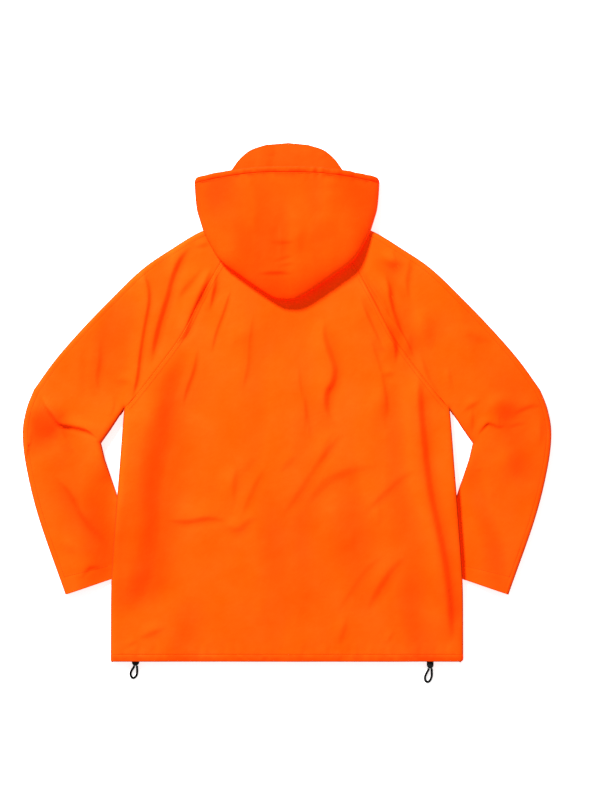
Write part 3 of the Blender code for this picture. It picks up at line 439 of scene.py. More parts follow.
@dataclass(frozen=True)
class FoldField:
    """The folds of one layer of cloth, with the soft unevenness that waxed cloth has."""

    folds: tuple[Fold, ...]
    # Soft places of painted shade; they darken the colour and leave the height alone.
    patches: tuple[ShadePatch, ...] = ()
    swell: float = 0.0012
    swell_span: float = 0.085
    streak: float = 0.0018
    streak_span: float = 0.030
    streak_length: float = 6.0
    streak_bend: float = 0.010
    streak_bend_span: float = 0.110
    streak_fan: float = 0.8
    streak_top_y: float = 0.48
    ripple: float = 0.00025
    ripple_span: float = 0.022
    crumple: float = 0.0004
    crumple_span: float = 0.055
    crumple_warp: float = 0.014
    crumple_warp_span: float = 0.070
    crumple_patch_span: float = 0.120
    # The drop at which a fold's painted shade is full.
    full_drop: float = 0.018
    full_length: float = 0.085
    ridge_tail: float = 1.9
    hollow: float = 0.30
    seed: int = 11

    def crossings(self, plan: Array) -> Iterator[tuple[float, Array, Array, Array, Array, float]]:
        """How the plan points near each fold lie to it.

        Args:
            plan: Points, x and y in the last axis.

        Yields:
            The fold's drop, which points are near, how far each of those lies on the high side,
            how full the fold is beside it, the fold's width there, and its ridge's reach.
        """
        for fold in self.folds:
            curve = PlanCurve(smooth(np.array(fold.path) / 1000, 6))
            drop, wide = fold.drop / 1000, fold.width / 1000
            margin = 6 * wide
            low, high = curve.points.min(0) - margin, curve.points.max(0) + margin
            near = np.all((plan > low) & (plan < high), axis=-1)
            if near.any():
                gap, share, side = curve.nearest(plan[near])
                end = min(0.48, (min(3.5 * wide, 0.075) + 0.010) / curve.length)
                full = ease(share / end) * ease((1 - share) / end)
                full *= min(1.0, curve.length / self.full_length)
                width = wide * (0.55 + 0.45 * full)
                tail = min(self.ridge_tail * wide, 0.20 * curve.length)
                yield drop, near, -side * gap, full, width, tail

    def height(self, plan: Array) -> Array:
        """How far the folds raise the cloth at each plan point."""
        total = self.unevenness(plan)
        for drop, near, inward, full, width, tail in self.crossings(plan):
            across = inward / width
            ridge = bell(np.maximum(0.0, inward - width / 2), tail)
            low = self.hollow * bell(across + 0.9, 0.7)
            total[near] += drop * full * (ease(across + 0.5) * ridge - low)
        return total

    def shade(self, plan: Array) -> Array:
        """Painted shade from 0 to 1: in the hollow beside each fold, in the streaks' hollows and in
        the patches.
        """
        # Painted shade in the hollows of the streaks.
        total = 0.5 * np.maximum(0.0, -self.streaks(plan))
        # Painted shade in the hollow beside each fold.
        for drop, near, inward, full, width, _ in self.crossings(plan):
            spread = np.where(inward > 0, 0.55 * width, 1.1 * width + 0.005)
            depth = min(1.0, drop / self.full_drop)
            total[near] += depth * full * bell(inward, spread)
        # Painted shade under each patch.
        for patch in self.patches:
            turn = math.radians(patch.turn)
            right, up = np.moveaxis(plan * 1000 - patch.middle, -1, 0)
            along = (right * math.cos(turn) + up * math.sin(turn)) / patch.along
            across = (up * math.cos(turn) - right * math.sin(turn)) / patch.across
            total += patch.depth * np.exp(-(along**2) - across**2)
        return np.clip(total, 0.0, 1.0)

    def streaks(self, plan: Array) -> Array:
        """Long soft ridges and hollows, from -1 to 1, that run down from the neck."""
        spread = 1 / (1 + self.streak_fan * (self.streak_top_y - plan[..., 1]))
        bend = self.streak_bend * value_noise(plan, self.streak_bend_span, self.seed + 8)
        across = plan[..., 0] * spread + bend
        along = plan[..., 1] / self.streak_length
        return value_noise(paired(across, along), self.streak_span, self.seed + 9)

    def unevenness(self, plan: Array) -> Array:
        """Broad swells, streaks, small ripples and faint crumpled facets with no order."""
        swell = self.swell * value_noise(plan, self.swell_span, self.seed)
        ripple = self.ripple * value_noise(plan, self.ripple_span, self.seed + 1)
        bend = [value_noise(plan, self.crumple_warp_span, self.seed + n) for n in (2, 3)]
        warped = plan + self.crumple_warp * paired(*bend)
        patches = ease(0.4 + value_noise(plan, self.crumple_patch_span, self.seed + 4))
        facets = crumpled(warped, self.crumple_span, self.seed + 5)
        uneven = self.streak * self.streaks(plan) + self.crumple * patches * facets
        return swell + ripple + uneven


# --- The lay: outline and heights ---


@dataclass(frozen=True)
class Profile:
    """A height or a reach that changes with y, as rows of y and value."""

    rows: tuple[Plan, ...]

    def at(self, y: Array | float) -> Array:
        """The value at each y."""
        return np.interp(y, *zip(*self.rows))

    def soft(self, y: Array) -> Array:
        """The value at each y, with the bends rounded off."""
        return sum(self.at(y + shift) for shift in (-0.018, -0.006, 0.006, 0.018)) / 4


@dataclass(frozen=True)
class Gathers:
    """Gathers that a drawcord makes across its casing, uneven in spacing and depth."""

    height: float
    span: float
    patch_span: float
    least: float
    contrast: float
    seed: int

    def at(self, place: Array) -> Array:
        """How far they raise the cloth at these places along the casing, in metres."""
        line = paired(place, np.zeros_like(place))
        patch = ease(0.5 + self.contrast * value_noise(line, self.patch_span, self.seed + 1))
        return self.height * value_noise(line, self.span, self.seed) * mix(self.least, 1.0, patch)


@dataclass
class Lay:
    """The jacket's outline for the +X half, which the -X half mirrors, and its heights."""

    hem_y: float = -0.466
    right_corner: float = 0.006
    left_corner: float = 0.0025
    underarm: Plan = (0.2925, -0.013)
    shoulder_neck: Plan = (0.092, 0.322)
    back_neck_side: Plan = (0.072, 0.317)
    back_neck_centre: Plan = (0.0, 0.309)
    front_neck_side: Plan = (0.076, 0.288)
    front_neck_centre: Plan = (0.0, 0.238)
    shoulder_lap: Plan = (0.130, 0.3142)
    elbow_outside: Plan = (0.455, 0.022)
    elbow_inside: Plan = (0.3335, -0.074)
    hood_corner: Plan = (0.151, 0.309)
    mouth_corner: Plan = (0.1665, 0.403)
    seam_gap: float = 0.0003
    neck_seam: float = 0.0005
    plateau: float = 0.014
    sleeve_crown: float = 0.0175
    body_edge_span: float = 0.016
    sleeve_edge_span: float = 0.018
    under_edge_span: float = 0.014
    shoulder_fold: float = 0.008
    side_fold: float = 0.006
    pressed_sleeve: float = 0.0068
    tuck_lift_height: float = 0.0083
    tuck_fall: float = 0.075
    shoulder_fold_from_y: float = -0.080
    shoulder_fold_run: float = 0.067
    crown_run: float = 0.100
    flap_left: float = -0.020
    flap_right: float = 0.036
    flap_step: float = 0.009
    flap_neck_spread: float = 0.030
    flap_neck_from_y: float = 0.120
    flap_neck_run: float = 0.100
    front_over_flap: float = 0.0030
    layer_gap: float = 0.0004
    shoulder_clearance: float = 0.0010
    nape_shoulder_clearance: float = 0.0026
    nape_clearance: float = 0.0010
    nape_shoulder_run: float = 0.040
    nape_neck_run: float = 0.010
    neck_shoulder_run: float = 0.045
    neck_shoulder_blend: float = 0.030
    seam_dip: float = 0.0006
    seam_dip_width: float = 0.0016
    hem_pucker: float = 0.0007
    hem_pucker_span: float = 0.0090
    hem_pucker_rise: float = 0.020
    hem_pucker_width: float = 0.011
    fell_height: float = 0.0003
    fell_edge: float = 0.0015
    fell_width: float = 0.0080
    # Width of the painted shade along the edges.
    edge_shade_width: float = 0.0034
    press_start: float = 0.064
    press_run: float = 0.060
    press_from_y: float = -0.090
    jacket_folds: FoldField = FoldField(BODY_FOLDS + SLEEVE_FOLDS, JACKET_SHADE_PATCHES)
    hood_folds: FoldField = FoldField(HOOD_FOLDS, HOOD_SHADE_PATCHES, seed=41)

    def __post_init__(self) -> None:
        """Works out the curves of the outline."""
        self.side_seam = PlanCurve.through(
            self.underarm, (0.2965, -0.060), (0.3010, -0.122), (0.3070, -0.200), (0.3155, -0.330),
            (0.3170, self.hem_y))
        self.back_raglan = PlanCurve.through(
            self.back_neck_side, (0.119, 0.250), (0.155, 0.186), (0.187, 0.124), (0.232, 0.061),
            (0.2755, 0.006), self.underarm)
        self.front_raglan = PlanCurve.through(
            self.front_neck_side, (0.122, 0.214), (0.163, 0.150), (0.205, 0.090), (0.248, 0.036),
            self.underarm)
        self.outer_upper = PlanCurve.through(
            self.shoulder_neck, (0.151, 0.308), (0.209, 0.274), (0.261, 0.238), (0.317, 0.184),
            (0.369, 0.130), (0.416, 0.076), self.elbow_outside)
        self.outer_lower = PlanCurve.through(
            self.elbow_outside, (0.4685, -0.014), (0.475, -0.059), (0.4675, -0.122),
            (0.445, -0.212), (0.398, -0.346))
        self.inner_upper = PlanCurve((self.underarm, (0.3165, -0.050), self.elbow_inside))
        self.inner_lower = PlanCurve((self.elbow_inside, (0.3265, -0.104), (0.3085, -0.158),
                                      (0.262, -0.3006)))
        self.outer = PlanCurve(joined(self.outer_upper.points, self.outer_lower.points))
        self.inner = PlanCurve(joined(self.inner_upper.points, self.inner_lower.points))
        self.hood_side = PlanCurve.through(
            self.hood_corner, (0.157, 0.328), (0.162, 0.346), (0.165, 0.373), self.mouth_corner)
        bottom = smooth((self.hood_corner, (0.139, 0.284), (0.118, 0.252), (0.082, 0.225),
                         (0.041, 0.197), (0.018, 0.1845), (0.0, 0.182)))
        mouth = smooth((self.mouth_corner, (0.110, 0.413), (0.055, 0.4195), (0.0, 0.421)))
        self.hood_bottom = PlanCurve(joined(mirrored(bottom), bottom[::-1]))
        self.hood_mouth = PlanCurve(joined(mirrored(mouth), mouth[::-1]))
        self.hood_outline = PlanCurve(joined(
            mirrored(self.hood_side.points)[::-1], self.hood_bottom.points,
            self.hood_side.points))
        self.neck_line = PlanCurve(joined(
            mirrored((self.shoulder_lap, self.shoulder_neck, self.back_neck_side)),
            smooth((mirrored(self.back_neck_side), self.back_neck_centre, self.back_neck_side)),
            (self.back_neck_side, self.shoulder_neck, self.shoulder_lap)))
        self.front_neckline = smooth(((-0.060, 0.238), self.front_neck_centre, (0.050, 0.254),
                                      self.front_neck_side))
        self.inner_fold = Profile(((-0.300, 0.0032), (-0.190, 0.0034), (-0.150, 0.0046),
            (-0.074, 0.0090), (-0.013, 0.0080)))
        self.outer_fold = Profile(((-0.346, 0.0080), (-0.059, 0.0095), (0.076, 0.0092),
            (0.250, 0.0080)))
        self.hood_fold = Profile(((0.182, 0.0310), (0.252, 0.0300), (0.309, 0.0185),
            (0.346, 0.0110), (0.403, 0.0065)))
        self.hood_crown = Profile(((0.182, 0.043), (0.240, 0.048), (0.310, 0.047), (0.360, 0.042),
            (0.421, 0.036)))
        self.hood_span = Profile(((0.182, 0.045), (0.250, 0.055), (0.310, 0.085), (0.360, 0.120),
            (0.421, 0.155)))

    def body_fold(self, y: Array) -> Array:
        """Height of the body's side fold above whatever it lies on."""
        run = (y - self.shoulder_fold_from_y) / self.shoulder_fold_run
        return mix(self.side_fold, self.shoulder_fold, ease(run))

    def hem_side(self, side: Array | float, y: Array) -> Array:
        """Half the hem's width at this y, with the corner of that side rounded off."""
        radius = np.where(np.asarray(side) > 0, self.right_corner, self.left_corner)
        up = np.clip((y - self.hem_y) / radius, 0.0, 1.0)
        return self.side_seam.x_at(y) - radius * (1 - rounded(up))

    def tuck_lift(self, plan: Array) -> Array:
        """How far a forearm lifts the body's side that lies over it."""
        before, corner = self.inner_lower.points[-2:]
        offset = halved(plan) - corner
        lift = self.tuck_lift_height
        for run in (corner - before, self.outer_lower.points[-1] - corner):
            past = (offset[..., 1] * run[0] - offset[..., 0] * run[1]) / np.hypot(*run)
            lift = lift * ease((past + self.tuck_fall) / self.tuck_fall)
        return lift

    def body_edge(self, plan: Array) -> Array:
        """How far a body panel's point lies inside the outline."""
        half = halved(plan)
        return np.minimum(self.outer.distance(half), self.side_seam.distance(half))

    def raglan_gap(self, plan: Array) -> Array:
        """How far a point lies from the back's raglan seam."""
        return self.back_raglan.distance(halved(plan))

    def back_top(self, plan: Array, seams: bool = True) -> Array:
        """Upper face of the back, with the raglan seams' relief."""
        clear = rolled(self.body_edge(plan) / self.body_edge_span)
        fold = self.body_fold(plan[..., 1])
        top = fold + (self.plateau - fold) * clear
        top = top + self.jacket_folds.height(plan) * clear + self.tuck_lift(plan)
        if seams:
            gap = self.raglan_gap(plan)
            fell = ease(gap / self.fell_edge)
            fell = fell * ease((self.fell_width - gap) / self.fell_edge + 0.5)
            top += self.fell_height * fell * clear
            top -= self.seam_dip * bell(gap, self.seam_dip_width) * clear
            above_hem = bell(plan[..., 1] - self.hem_y - self.hem_pucker_rise,
                             self.hem_pucker_width)
            pinched = value_noise(plan * (1, 0.25), self.hem_pucker_span, 77)
            top += self.hem_pucker * pinched * above_hem * clear
        return top

    def flap_lift(self, plan: Array) -> Array:
        """How far the fronts pass over the flap, with a wider step near the neck."""
        x, y = plan[..., 0], plan[..., 1]
        spread = self.flap_neck_spread * ease((y - self.flap_neck_from_y) / self.flap_neck_run)
        step = self.flap_step + spread
        rise = (x - self.flap_left + spread + step) / step
        fall = (self.flap_right + spread + step - x) / step
        return self.front_over_flap * np.clip(np.minimum(rise, fall), 0.0, 1.0)

    def front_under(self, plan: Array) -> Array:
        """Lower, outer face of the fronts."""
        roll = 1 - rounded(self.body_edge(plan) / self.under_edge_span)
        return self.body_fold(plan[..., 1]) * roll + self.tuck_lift(plan) + self.flap_lift(plan)

    def sleeve_fold(self, plan: Array) -> tuple[Array, Array]:
        """(distance to the nearest fold, that fold's height) of a sleeve's points."""
        half = halved(plan)
        outer, inner = self.outer.distance(half), self.inner.distance(half)
        share = outer / np.maximum(outer + inner, 1e-9)
        low = self.inner_fold.at(plan[..., 1])
        high = self.outer_fold.at(plan[..., 1])
        return np.minimum(outer, inner), mix(high, low, share)

    def sleeve_top(self, plan: Array, seams: bool = True) -> Array:
        """Upper face of a sleeve, pressed down where the body's side lies over it."""
        edge, fold = self.sleeve_fold(plan)
        raglan = self.raglan_gap(plan)
        away = ease(raglan / self.crown_run)
        crown = mix(self.plateau, self.sleeve_crown, away)
        clear = rolled(edge / mix(self.body_edge_span, self.sleeve_edge_span, away))
        free = fold + (crown - fold) * clear + self.jacket_folds.height(plan) * clear
        if seams:
            free = free - self.seam_dip * bell(raglan, self.seam_dip_width) * clear
        under_body = self.side_seam.x_at(plan[..., 1]) - np.abs(plan[..., 0])
        pressed = ease((under_body + self.press_start) / self.press_run)
        pressed = pressed * ease((self.press_from_y - plan[..., 1]) / self.press_run)
        return mix(free, np.minimum(free, self.pressed_sleeve), pressed)

    def sleeve_under(self, plan: Array) -> Array:
        """Lower face of a sleeve."""
        edge, fold = self.sleeve_fold(plan)
        return fold * (1 - rounded(edge / self.under_edge_span))

    def jacket_top(self, plan: Array) -> Array:
        """Upper face of the jacket where the hood lies on it."""
        on_back = (np.abs(plan[..., 0]) < self.back_raglan.x_at(plan[..., 1])) & (
            plan[..., 1] <= self.back_neck_side[1])
        return np.where(on_back, self.back_top(plan, False), self.sleeve_top(plan, False))

    def hood_top(self, plan: Array) -> Array:
        """Upper face of the hood."""
        y = plan[..., 1]
        clear = rounded(self.hood_outline.distance(plan) / self.hood_span.soft(y))
        top = mix(self.hood_fold.soft(y), self.hood_crown.soft(y), clear)
        return top + self.hood_folds.height(plan) * clear

    def nape_under(self, plan: Array) -> Array:
        """Lower face of the hood's layer that lies on the back, rising to its edge fold."""
        shoulder = self.outer.distance(halved(plan))
        over = mix(self.shoulder_clearance, self.nape_shoulder_clearance, ease(shoulder / 0.003))
        over = over * (1 - ease(shoulder / self.nape_shoulder_run))
        neck = self.nape_clearance * ease(self.neck_line.distance(plan) / self.nape_neck_run)
        rest = self.jacket_top(plan) + self.layer_gap + neck + over
        edge = self.hood_bottom.distance(plan)
        fold = self.hood_fold.at(plan[..., 1])
        return mix(fold, rest, rounded(edge / self.under_edge_span))

    def neck_under(self, plan: Array) -> Array:
        """Lower face of the hood's neck part, flat but for its sides and the shoulders."""
        half = halved(plan)
        side_gap = self.hood_side.distance(half)
        side_roll = self.hood_fold.at(plan[..., 1])
        side_roll = side_roll * (1 - rounded(side_gap / self.under_edge_span))
        shoulder_gap = self.outer.distance(half)
        shoulder_y = np.interp(half[..., 0], self.outer_upper.points[:, 0],
                               self.outer_upper.points[:, 1])
        inside = self.shoulder_fold * (1 - rounded(shoulder_gap / self.under_edge_span))
        beyond = self.shoulder_fold + self.layer_gap + self.shoulder_clearance
        beyond = beyond * (1 - ease(shoulder_gap / self.neck_shoulder_run))
        past = (plan[..., 1] - shoulder_y) / self.neck_shoulder_blend
        shoulder = mix(inside, beyond, ease(0.5 + past))
        return np.maximum(side_roll, shoulder) + self.flap_lift(plan)


# --- Finishes ---


class Nodes:
    """A material's node tree, with short calls for adding and joining nodes."""

    def __init__(self, name: str) -> None:
        """Makes an empty material with a shader and its output."""
        self.material = bpy.data.materials.new(name)
        self.material.use_nodes = True
        self.tree = self.material.node_tree
        self.shader = self.tree.nodes["Principled BSDF"]

    @staticmethod
    def put(node: bpy.types.Node, **settings: object) -> bpy.types.Node:
        """Sets a node's sockets or else its properties, by name."""
        for key, value in settings.items():
            socket = key.replace("_", " ")
            if socket in node.inputs:
                node.inputs[socket].default_value = value
            else:
                setattr(node, key, value)
        return node

    def add(self, kind: str, **settings: object) -> bpy.types.Node:
        """A new node with these settings."""
        return self.put(self.tree.nodes.new(kind), **settings)

    def link(self, source: Socket, target: Socket) -> None:
        """Joins an output to an input."""
        self.tree.links.new(source, target)

    def noise(self, scale: float, detail: float, roughness: float = 0.5) -> Socket:
        """Noise in the object's own metres."""
        place = self.add("ShaderNodeTexCoord")
        node = self.add("ShaderNodeTexNoise", Scale=scale, Detail=detail, Roughness=roughness)
        self.link(place.outputs["Object"], node.inputs["Vector"])
        return node.outputs["Fac"]

    def ramp(self, source: Socket, stops: Sequence[tuple[float, Triple]]) -> Socket:
        """Colours along a source's value."""
        node = self.add("ShaderNodeValToRGB")
        elements = node.color_ramp.elements
        while len(elements) < len(stops):
            elements.new(0.5)
        for element, (place, colour) in zip(elements, stops):
            element.position = place
            element.color = (*colour, 1.0)
        self.link(source, node.inputs["Fac"])
        return node.outputs["Color"]

    def darkened(self, colour: Socket, attribute: str, depth: float) -> Socket:
        """A colour with its green and blue lowered by up to `depth` where an attribute says."""
        amount = self.add("ShaderNodeAttribute", attribute_name=attribute)
        mixed = self.add("ShaderNodeMix", data_type="RGBA", blend_type="MULTIPLY")
        self.link(amount.outputs["Fac"], mixed.inputs["Factor"])
        self.link(colour, mixed.inputs[6])
        mixed.inputs[7].default_value = (1 - 0.15 * depth, 1 - depth, 1 - depth, 1.0)
        return mixed.outputs[2]

    def bumps(self, *layers: tuple[Socket, float, float]) -> None:
        """Bumps on top of each other, each as (height, distance in metres, strength)."""
        before = None
        for height, distance, strength in layers:
            bump = self.add("ShaderNodeBump", Distance=distance, Strength=strength)
            self.link(height, bump.inputs["Height"])
            if before is not None:
                self.link(before, bump.inputs["Normal"])
            before = bump.outputs["Normal"]
        self.link(before, self.shader.inputs["Normal"])


@dataclass(frozen=True)
class WaxedCloth:
    """Bright waxed cotton: a close weave, faint rubs, painted shade, and red emission as painted
    light.
    """

    name: str = "waxed_cloth"
    deep: Triple = (0.92, 0.075, 0.0008)
    main: Triple = (0.94, 0.082, 0.0018)
    rubbed: Triple = (0.96, 0.090, 0.0032)
    # Colour of the painted shade along edges, where the cloth turns away from the light.
    edge: Triple = (0.18, 0.044, 0.004)
    # Strength of the red emission: painted light that lifts the red where the cloth lies in shade.
    painted_red_light: float = 0.22
    # How far the painted shade of the shade attribute lowers green and blue.
    hollow: float = 0.46
    roughness: float = 0.64
    specular: float = 0.01
    weave_scale: float = 900.0

    def build(self) -> bpy.types.Material:
        """The cloth's material."""
        nodes = Nodes(self.name)
        patches = nodes.noise(14.0, 4.0, 0.6)
        colour = nodes.ramp(patches, ((0.30, self.deep), (0.50, self.main), (0.72, self.rubbed)))
        # Painted shade: the edge colour blends in along edges, and the shade attribute darkens
        # beside folds.
        worn = nodes.add("ShaderNodeAttribute", attribute_name="worn")
        blend = nodes.add("ShaderNodeMix", data_type="RGBA")
        nodes.link(worn.outputs["Fac"], blend.inputs["Factor"])
        nodes.link(nodes.darkened(colour, "shade", self.hollow), blend.inputs[6])
        blend.inputs[7].default_value = (*self.edge, 1.0)
        nodes.link(blend.outputs[2], nodes.shader.inputs["Base Color"])
        sheen = nodes.add("ShaderNodeMapRange", To_Min=self.roughness - 0.08,
                          To_Max=self.roughness + 0.10)
        nodes.link(nodes.noise(60.0, 3.0), sheen.inputs["Value"])
        nodes.link(sheen.outputs["Result"], nodes.shader.inputs["Roughness"])
        # The red emission is painted light, not a lamp: it lifts the red in the shade.
        nodes.put(nodes.shader, Specular_IOR_Level=self.specular,
                  Emission_Color=(1.0, 0.0, 0.0, 1.0), Emission_Strength=self.painted_red_light)
        nodes.bumps(
            (nodes.noise(70.0, 4.0, 0.62), 0.0016, 0.35),
            (nodes.noise(260.0, 2.0, 0.5), 0.0004, 0.25),
            (nodes.noise(self.weave_scale, 1.0, 0.5), 0.0002, 0.30),
        )
        return nodes.material


@dataclass(frozen=True)
class Plain:
    """A finish of one stuff with a fine grain."""

    name: str
    colour: Triple
    lighter: Triple
    roughness: float
    grain: float
    metallic: float = 0.0
    specular: float = 0.4

    def build(self) -> bpy.types.Material:
        """The material."""
        nodes = Nodes(self.name)
        source = nodes.noise(self.grain, 3.0)
        colour = nodes.ramp(source, ((0.35, self.colour), (0.65, self.lighter)))
        nodes.link(colour, nodes.shader.inputs["Base Color"])
        nodes.put(nodes.shader, Roughness=self.roughness, Metallic=self.metallic,
                  Specular_IOR_Level=self.specular)
        nodes.bumps((source, 0.0003, 0.3))
        return nodes.material


@dataclass(frozen=True)
class BraidedCord:
    """Black braided drawcord: two crossed bands of strands."""

    name: str = "braided_cord"
    pitch: float = 950.0

    def build(self) -> bpy.types.Material:
        """The material."""
        nodes = Nodes(self.name)
        place = nodes.add("ShaderNodeTexCoord")
        bands = []
        for turn in (0.7, -0.7):
            mapping = nodes.add("ShaderNodeMapping", Rotation=(0.0, 0.0, turn))
            nodes.link(place.outputs["Object"], mapping.inputs["Vector"])
            wave = nodes.add("ShaderNodeTexWave", Scale=self.pitch)
            nodes.link(mapping.outputs["Vector"], wave.inputs["Vector"])
            bands.append(wave.outputs["Fac"])
        colour = nodes.ramp(bands[0], ((0.2, (0.001, 0.001, 0.001)), (0.8, (0.005, 0.005, 0.005))))
        nodes.link(colour, nodes.shader.inputs["Base Color"])
        nodes.put(nodes.shader, Roughness=0.85, Specular_IOR_Level=0.03)
        nodes.bumps((bands[0], 0.0004, 0.5), (bands[1], 0.0004, 0.5))
        return nodes.material


class Finishes:
    """All the finishes, built once; the hood and its lining get darker copies of the cloth: painted
    shade.
    """

    def __init__(self) -> None:
        """Builds each material."""
        self.cloth = WaxedCloth().build()
        # Darker copies of the cloth's colours for the hood and the neck part's inside: painted
        # shade.
        self.hood = WaxedCloth("waxed_cloth_painted_shade", (0.90, 0.056, 0.0006),
                               (0.93, 0.062, 0.0010), (0.95, 0.070, 0.0018)).build()
        self.lining = WaxedCloth("waxed_cloth_inside_painted_shade", (0.93, 0.053, 0.0009),
                                 (0.95, 0.061, 0.0016), (0.96, 0.069, 0.0026)).build()
        self.thread = Plain("sewing_thread", (0.80, 0.034, 0.001), (0.92, 0.055, 0.002), 0.8,
                            900.0, specular=0.03).build()
        self.cord = BraidedCord().build()
        self.lock = Plain("moulded_black", (0.004, 0.004, 0.004), (0.009, 0.009, 0.010), 0.5,
                          700.0, specular=0.12).build()
        self.stud = Plain("painted_stud", (0.040, 0.040, 0.042), (0.060, 0.060, 0.062), 0.35,
                          500.0, 0.8).build()


# --- Making meshes ---


def mesh_of(name: str, points: Sequence[Sequence[float]], faces: Sequence[Sequence[int]],
            sharp: float | None = None) -> bpy.types.Mesh:
    """A mesh shaded smooth, but for edges sharper than `sharp` degrees.

    Args:
        name: The mesh's name.
        points: Its points.
        faces: Its faces, as numbers of points.
        sharp: The angle, or None where every edge is smooth.

    Returns:
        The mesh.
    """
    mesh = bpy.data.meshes.new(name)
    mesh.from_pydata(points, [], faces)
    mesh.polygons.foreach_set("use_smooth", [True] * len(mesh.polygons))
    if sharp is not None:
        mesh.set_sharp_from_angle(angle=math.radians(sharp))
    return mesh


def numbered(first: int, rows: int, columns: int) -> NDArray[np.int64]:
    """A grid of points' numbers that count up from the first."""
    return first + np.arange(rows * columns).reshape(rows, columns)


def wrapped(numbers: NDArray[np.int64]) -> NDArray[np.int64]:
    """The same grid with its first column again after its last."""
    return np.hstack([numbers, numbers[:, :1]])


def quads(numbers: NDArray[np.int64]) -> list[list[int]]:
    """The four-sided faces between the points of a grid."""
    corners = (numbers[:-1, :-1], numbers[:-1, 1:], numbers[1:, 1:], numbers[1:, :-1])
    return np.stack(corners, axis=-1).reshape(-1, 4).tolist()


def ring_faces(first: int, rings: int, around: int) -> list[list[int]]:
    """The faces between rings of points that rise one above the other, closed at both ends.

    Args:
        first: The number of the lowest ring's first point.
        rings: How many rings there are.
        around: How many points each has.

    Returns:
        The faces, as numbers of points.
    """
    numbers = numbered(first, rings, around)
    sides = [[a, d, c, b] for a, b, c, d in quads(wrapped(numbers))]
    return [*sides, numbers[0].tolist(), numbers[-1][::-1].tolist()]


def linked(name: str, data: bpy.types.ID) -> bpy.types.Object:
    """A new object with this data, linked to the scene."""
    made = bpy.data.objects.new(name, data)
    bpy.context.scene.collection.objects.link(made)
    return made


def finished(name: str, shape: bpy.types.ID, material: bpy.types.Material, slot: str,
             *nodes: str) -> bpy.types.Object:
    """Links a piece to the scene, with its finish and body, and hides the nodes it stands for.

    Args:
        name: The piece's name.
        shape: Its mesh or curve.
        material: Its finish.
        slot: Not used.
        *nodes: The solids that it replaces.

    Returns:
        The piece.
    """
    shape.materials.append(material)
    piece = linked(name, shape)
    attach(piece, BODY)
    if nodes:
        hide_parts(*nodes)
    LOG.info("%s stands for %s", name, ", ".join(nodes) or "nothing")
    return piece


@dataclass
class ClothShell:
    """A thin wall of cloth whose outer face is a grid of points."""

    thickness: float = 0.0011
    inner_step: int = 3
    closed: bool = False
    facing: Facing = Facing.UP
    lean: Array | None = None

    def normals(self, outer: Array) -> Array:
        """The outer face's unit normals, one a grid point."""
        if self.closed:
            across = np.roll(outer, -1, axis=1) - np.roll(outer, 1, axis=1)
        else:
            across = np.gradient(outer, axis=1)
        along = np.gradient(outer, axis=0)
        normal = np.cross(across, along) * self.facing.value
        normal /= np.maximum(np.linalg.norm(normal, axis=-1, keepdims=True), 1e-12)
        if self.lean is not None:
            wrong = normal[..., 2] * self.lean < -0.3
            normal = np.where(wrong[..., None], -normal, normal)
        return normal

    def build(self, name: str, outer: Array, **tones: Array) -> bpy.types.Mesh:
        """The closed wall: the outer face, a coarser inner face, and the rims between.

        Args:
            name: The mesh's name.
            outer: The outer face's points, rows by columns by three.
            **tones: How much painted shade each point of the outer face gets, from 0 to 1.

        Returns:
            The mesh, shaded smooth with sharp rims.
        """
        rows, columns = outer.shape[:2]
        row_stops = sorted({*range(0, rows, self.inner_step), rows - 1})
        column_stops = [*range(0, columns, self.inner_step)]
        if not self.closed:
            column_stops = sorted({*column_stops, columns - 1})
        inner = (outer - self.normals(outer) * self.thickness)[np.ix_(row_stops, column_stops)]
        points = np.concatenate([outer.reshape(-1, 3), inner.reshape(-1, 3)])
        dense, coarse = numbered(0, rows, columns), numbered(rows * columns, *inner.shape[:2])
        ends = column_stops
        if self.closed:
            dense, coarse, ends = wrapped(dense), wrapped(coarse), [*column_stops, columns]
        faces = [*quads(dense), *[[a, d, c, b] for a, b, c, d in quads(coarse)]]
        for column, (start, end) in enumerate(zip(ends, ends[1:])):
            across = slice(start, end + 1)
            pair = coarse[:, column:column + 2]
            faces.append([*pair[0].tolist(), *dense[0, across][::-1].tolist()])
            faces.append([*pair[-1][::-1].tolist(), *dense[-1, across].tolist()])
        if not self.closed:
            for row, (start, end) in enumerate(zip(row_stops, row_stops[1:])):
                along = slice(start, end + 1)
                pair = coarse[row:row + 2]
                faces.append([*pair[::-1, 0].tolist(), *dense[along, 0].tolist()])
                faces.append([*pair[:, -1].tolist(), *dense[along, -1][::-1].tolist()])
        if self.facing is Facing.DOWN:
            faces = [face[::-1] for face in faces]
        mesh = mesh_of(name, points.tolist(), faces, 55)
        for tone, given in tones.items():
            amount = np.broadcast_to(given, (rows, columns))
            inside = amount[np.ix_(row_stops, column_stops)]
            values = np.concatenate([amount.reshape(-1), inside.reshape(-1)]).astype(np.float32)
            mesh.attributes.new(tone, "FLOAT", "POINT").data.foreach_set("value", values)
        return mesh


def grid_of(place: Place, columns: Array, rows: Array) -> Array:
    """Calls place(column, row) for a whole grid of shares at once."""
    across, along = np.meshgrid(columns, rows)
    return place(across, along)


def with_height(plan: Array, height: Array) -> Array:
    """Plan points with their heights."""
    return np.concatenate([plan, height[..., None]], axis=-1)


